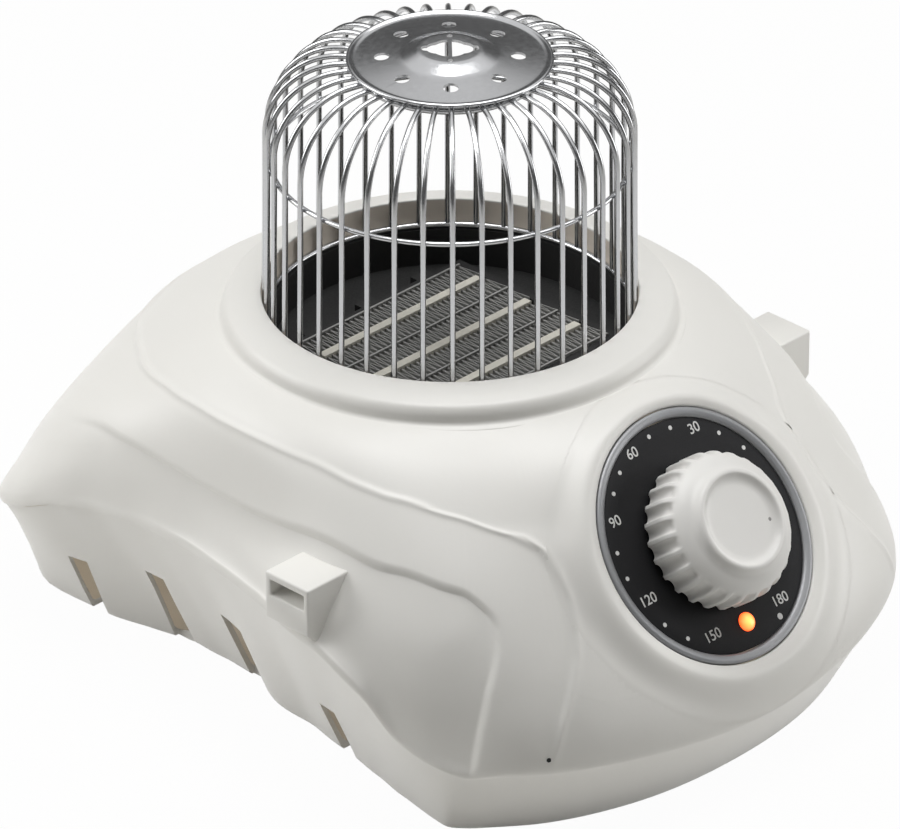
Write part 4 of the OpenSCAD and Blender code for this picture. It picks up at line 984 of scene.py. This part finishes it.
# Heater: fine folded strips between the plates and the cream bars
HEATER_L, HEATER_W, FIN_FOOT, FIN_TOP = 84.0, 73.0, 101.0, 114.7
PLATE_T, BAR_T, FIN_PITCH, FIN_HALF_T, FIN_GAP = 0.8, 3.2, 1.2, 0.16, 0.15
ROW_W = (HEATER_W - 4 * PLATE_T) / 3
STRIP_W = (ROW_W - BAR_T) / 2
fin_pts, fin_faces = [], []
folds = int(HEATER_L / FIN_PITCH)
for row in range(3):
    start = -HEATER_W / 2 + PLATE_T + row * (ROW_W + PLATE_T)
    for y0 in (start + FIN_GAP, start + STRIP_W + BAR_T + FIN_GAP):
        zig = [((i - folds / 2) * FIN_PITCH, y0 + (i % 2) * (STRIP_W - 2 * FIN_GAP))
               for i in range(folds + 1)]
        outline = [(x - FIN_HALF_T, y) for x, y in zig] + [(x + FIN_HALF_T, y) for x, y in zig[::-1]]
        n, m = len(fin_pts), len(outline)
        fin_pts += [(x, y, z) for z in (FIN_FOOT, FIN_TOP) for x, y in outline]
        fin_faces += [[n + i, n + (i + 1) % m, n + m + (i + 1) % m, n + m + i] for i in range(m)]
        for level in (0, m):
            fin_faces += [[n + level + i, n + level + i + 1, n + level + m - 2 - i,
                           n + level + m - 1 - i] for i in range(folds)]
fins = add("fine_fins", fin_pts, fin_faces, smooth=False)
fins.data.materials.append(M_FIN)
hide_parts("heater_fins")

# ------------------------------------ finishes of the carried parts
FINISH = {
    "intake_grille": M_WHITE, "rubber_feet": M_RUBBER, "cover_screws": M_ZINC,
    "grille_screws": M_ZINC, "air_duct": M_DUCT, "duct_screws": M_ZINC, "heater_frame": M_DUCT,
    "heater_fins": M_FIN, "heater_bars": M_CREAM, "heater_plates": M_FIN,
    "heater_terminals": M_BRASS, "thermostat": M_ZINC, "thermal_fuse": M_CREAM,
    "fan_impeller": M_FAN, "motor_shaft": M_STEEL, "motor_rotor": M_STEEL,
    "motor_stator": M_STEEL, "motor_coil": M_COPPER, "upper_bracket": M_ZINC,
    "lower_bracket": M_ZINC, "motor_bearings": M_BRONZE, "motor_screws": M_ZINC,
    "indicator_lens": M_LENS, "lamp_holder": M_INNER, "timer_case": M_INNER,
    "timer_nut": M_ZINC, "timer_terminals": M_BRASS, "timer_shaft": M_STEEL,
    "terminal_block": M_INNER, "cord_gland": M_RUBBER, "bezel_ring": M_BEZEL,
    "dial_plate": M_DIAL, "control_knob": M_KNOB, "guard_wires": M_WIRE,
    "guard_base_ring": M_WIRE, "guard_mid_ring": M_WIRE, "guard_top_ring": M_WIRE,
    "guard_cap": M_CAP, "top_cover": M_WHITE, "base_tub": M_WHITE, "outlet_collar": M_WHITE,
    "frame_lugs": M_WHITE,
}
for node_name, finish in FINISH.items():
    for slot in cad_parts[node_name].material_slots:
        slot.link = "OBJECT"
        slot.material = finish

# ------------------------------------ floor, light, background
def backdrop_rays(tree):
    """The light path, and 1 for the rays that see the backdrop: camera, glossy, transmission."""
    path = tree.nodes.new("ShaderNodeLightPath")
    seen = path.outputs["Is Camera Ray"]
    for kind in ("Is Glossy Ray", "Is Transmission Ray"):
        either = tree.nodes.new("ShaderNodeMath")
        either.operation = "MAXIMUM"
        tree.links.new(seen, either.inputs[0])
        tree.links.new(path.outputs[kind], either.inputs[1])
        seen = either.outputs[0]
    return path, seen


def ramp_to(tree, value, low, high, at_low, at_high):
    """A smooth ramp of a value."""
    ramp = tree.nodes.new("ShaderNodeMapRange")
    ramp.interpolation_type = "SMOOTHSTEP"
    put(ramp, From_Min=low, From_Max=high, To_Min=at_low, To_Max=at_high)
    tree.links.new(value, ramp.inputs["Value"])
    return ramp.outputs["Result"]


def camera_or(tree, path, other, for_camera):
    """One value for camera rays and another for the rest."""
    choice = tree.nodes.new("ShaderNodeMix")
    put(choice, B=for_camera)
    tree.links.new(other, choice.inputs["A"])
    tree.links.new(path.outputs["Is Camera Ray"], choice.inputs["Factor"])
    return choice.outputs["Result"]


def mixed(tree, amount, first, second, output):
    """Two shaders mixed into the output."""
    mixer = tree.nodes.new("ShaderNodeMixShader")
    tree.links.new(amount, mixer.inputs["Fac"])
    tree.links.new(first.outputs[0], mixer.inputs[1])
    tree.links.new(second.outputs[0], mixer.inputs[2])
    tree.links.new(mixer.outputs[0], tree.nodes[output].inputs["Surface"])


def pale_floor():
    """Pale and matt to light; nearly white to the camera, and to reflections near the object."""
    finish = bpy.data.materials.new("floor_pale")
    finish.use_nodes = True
    tree = finish.node_tree
    matt = tree.nodes["Principled BSDF"]
    put(matt, Base_Color=(0.72, 0.71, 0.685, 1), Roughness=0.9, Specular_IOR_Level=0.0)
    white = tree.nodes.new("ShaderNodeEmission")
    put(white, Strength=1.0)
    place = tree.nodes.new("ShaderNodeNewGeometry")
    far = tree.nodes.new("ShaderNodeVectorMath")
    far.operation = "LENGTH"
    tree.links.new(place.outputs["Position"], far.inputs[0])
    path, seen = backdrop_rays(tree)
    near = ramp_to(tree, far.outputs["Value"], 0.385, 0.45, 0.97, 0.10)
    amount = tree.nodes.new("ShaderNodeMath")
    amount.operation = "MULTIPLY"
    tree.links.new(seen, amount.inputs[0])
    tree.links.new(camera_or(tree, path, near, 0.97), amount.inputs[1])
    mixed(tree, amount.outputs[0], matt, white, "Material Output")
    return finish


def studio():
    """White to the camera; to reflections dark low down and white above; nearly black as light."""
    world = bpy.data.worlds.new("studio")
    world.use_nodes = True
    tree = world.node_tree
    dim = tree.nodes["Background"]
    put(dim, Color=(1, 1, 1, 1), Strength=0.02)
    white = tree.nodes.new("ShaderNodeBackground")
    put(white, Color=(1, 1, 1, 1))
    way = tree.nodes.new("ShaderNodeTexCoord")
    height = tree.nodes.new("ShaderNodeSeparateXYZ")
    tree.links.new(way.outputs["Generated"], height.inputs[0])
    path, seen = backdrop_rays(tree)
    sky = ramp_to(tree, height.outputs["Z"], 0.43, 0.65, 0.13, 1.0)
    tree.links.new(camera_or(tree, path, sky, 1.0), white.inputs["Strength"])
    mixed(tree, seen, dim, white, "World Output")
    return world


FLOOR_HALF = 6
floor_mesh = bpy.data.meshes.new("floor")
floor_mesh.from_pydata([(-FLOOR_HALF, -FLOOR_HALF, 0), (FLOOR_HALF, -FLOOR_HALF, 0),
                        (FLOOR_HALF, FLOOR_HALF, 0), (-FLOOR_HALF, FLOOR_HALF, 0)], [],
                       [(0, 1, 2, 3)])
floor_mesh.materials.append(pale_floor())
linked("floor", floor_mesh)
scene.world = studio()

# The middle of the object, which the lights face
MIDDLE = (0, 0, 0.09)


def around(azimuth, elevation, far=1.5):
    """A place that far from the middle of the object; azimuth 0 is in front of the dial."""
    a, e = math.radians(azimuth), math.radians(elevation)
    return (far * math.sin(a) * math.cos(e), -far * math.cos(a) * math.cos(e),
            MIDDLE[2] + far * math.sin(e))


def light_box(name, place, size, power):
    """A square light that faces the middle of the object."""
    data = bpy.data.lights.new(name, "AREA")
    data.shape = "SQUARE"
    data.size = size
    data.energy = power
    box = linked(name, data)
    box.location = place
    box.rotation_mode = "QUATERNION"
    box.rotation_quaternion = (Vector(MIDDLE) - Vector(place)).to_track_quat("-Z", "Y")


light_box("top_box", around(0, 90), 0.8, 14.2)
light_box("left_box", around(223, 28, 0.95), 0.6, 4.7)
light_box("right_low_box", around(52, 8), 0.8, 7.2)
light_box("right_high_box", around(60, 60), 0.8, 5.6)

scene.view_settings.view_transform = "Standard"
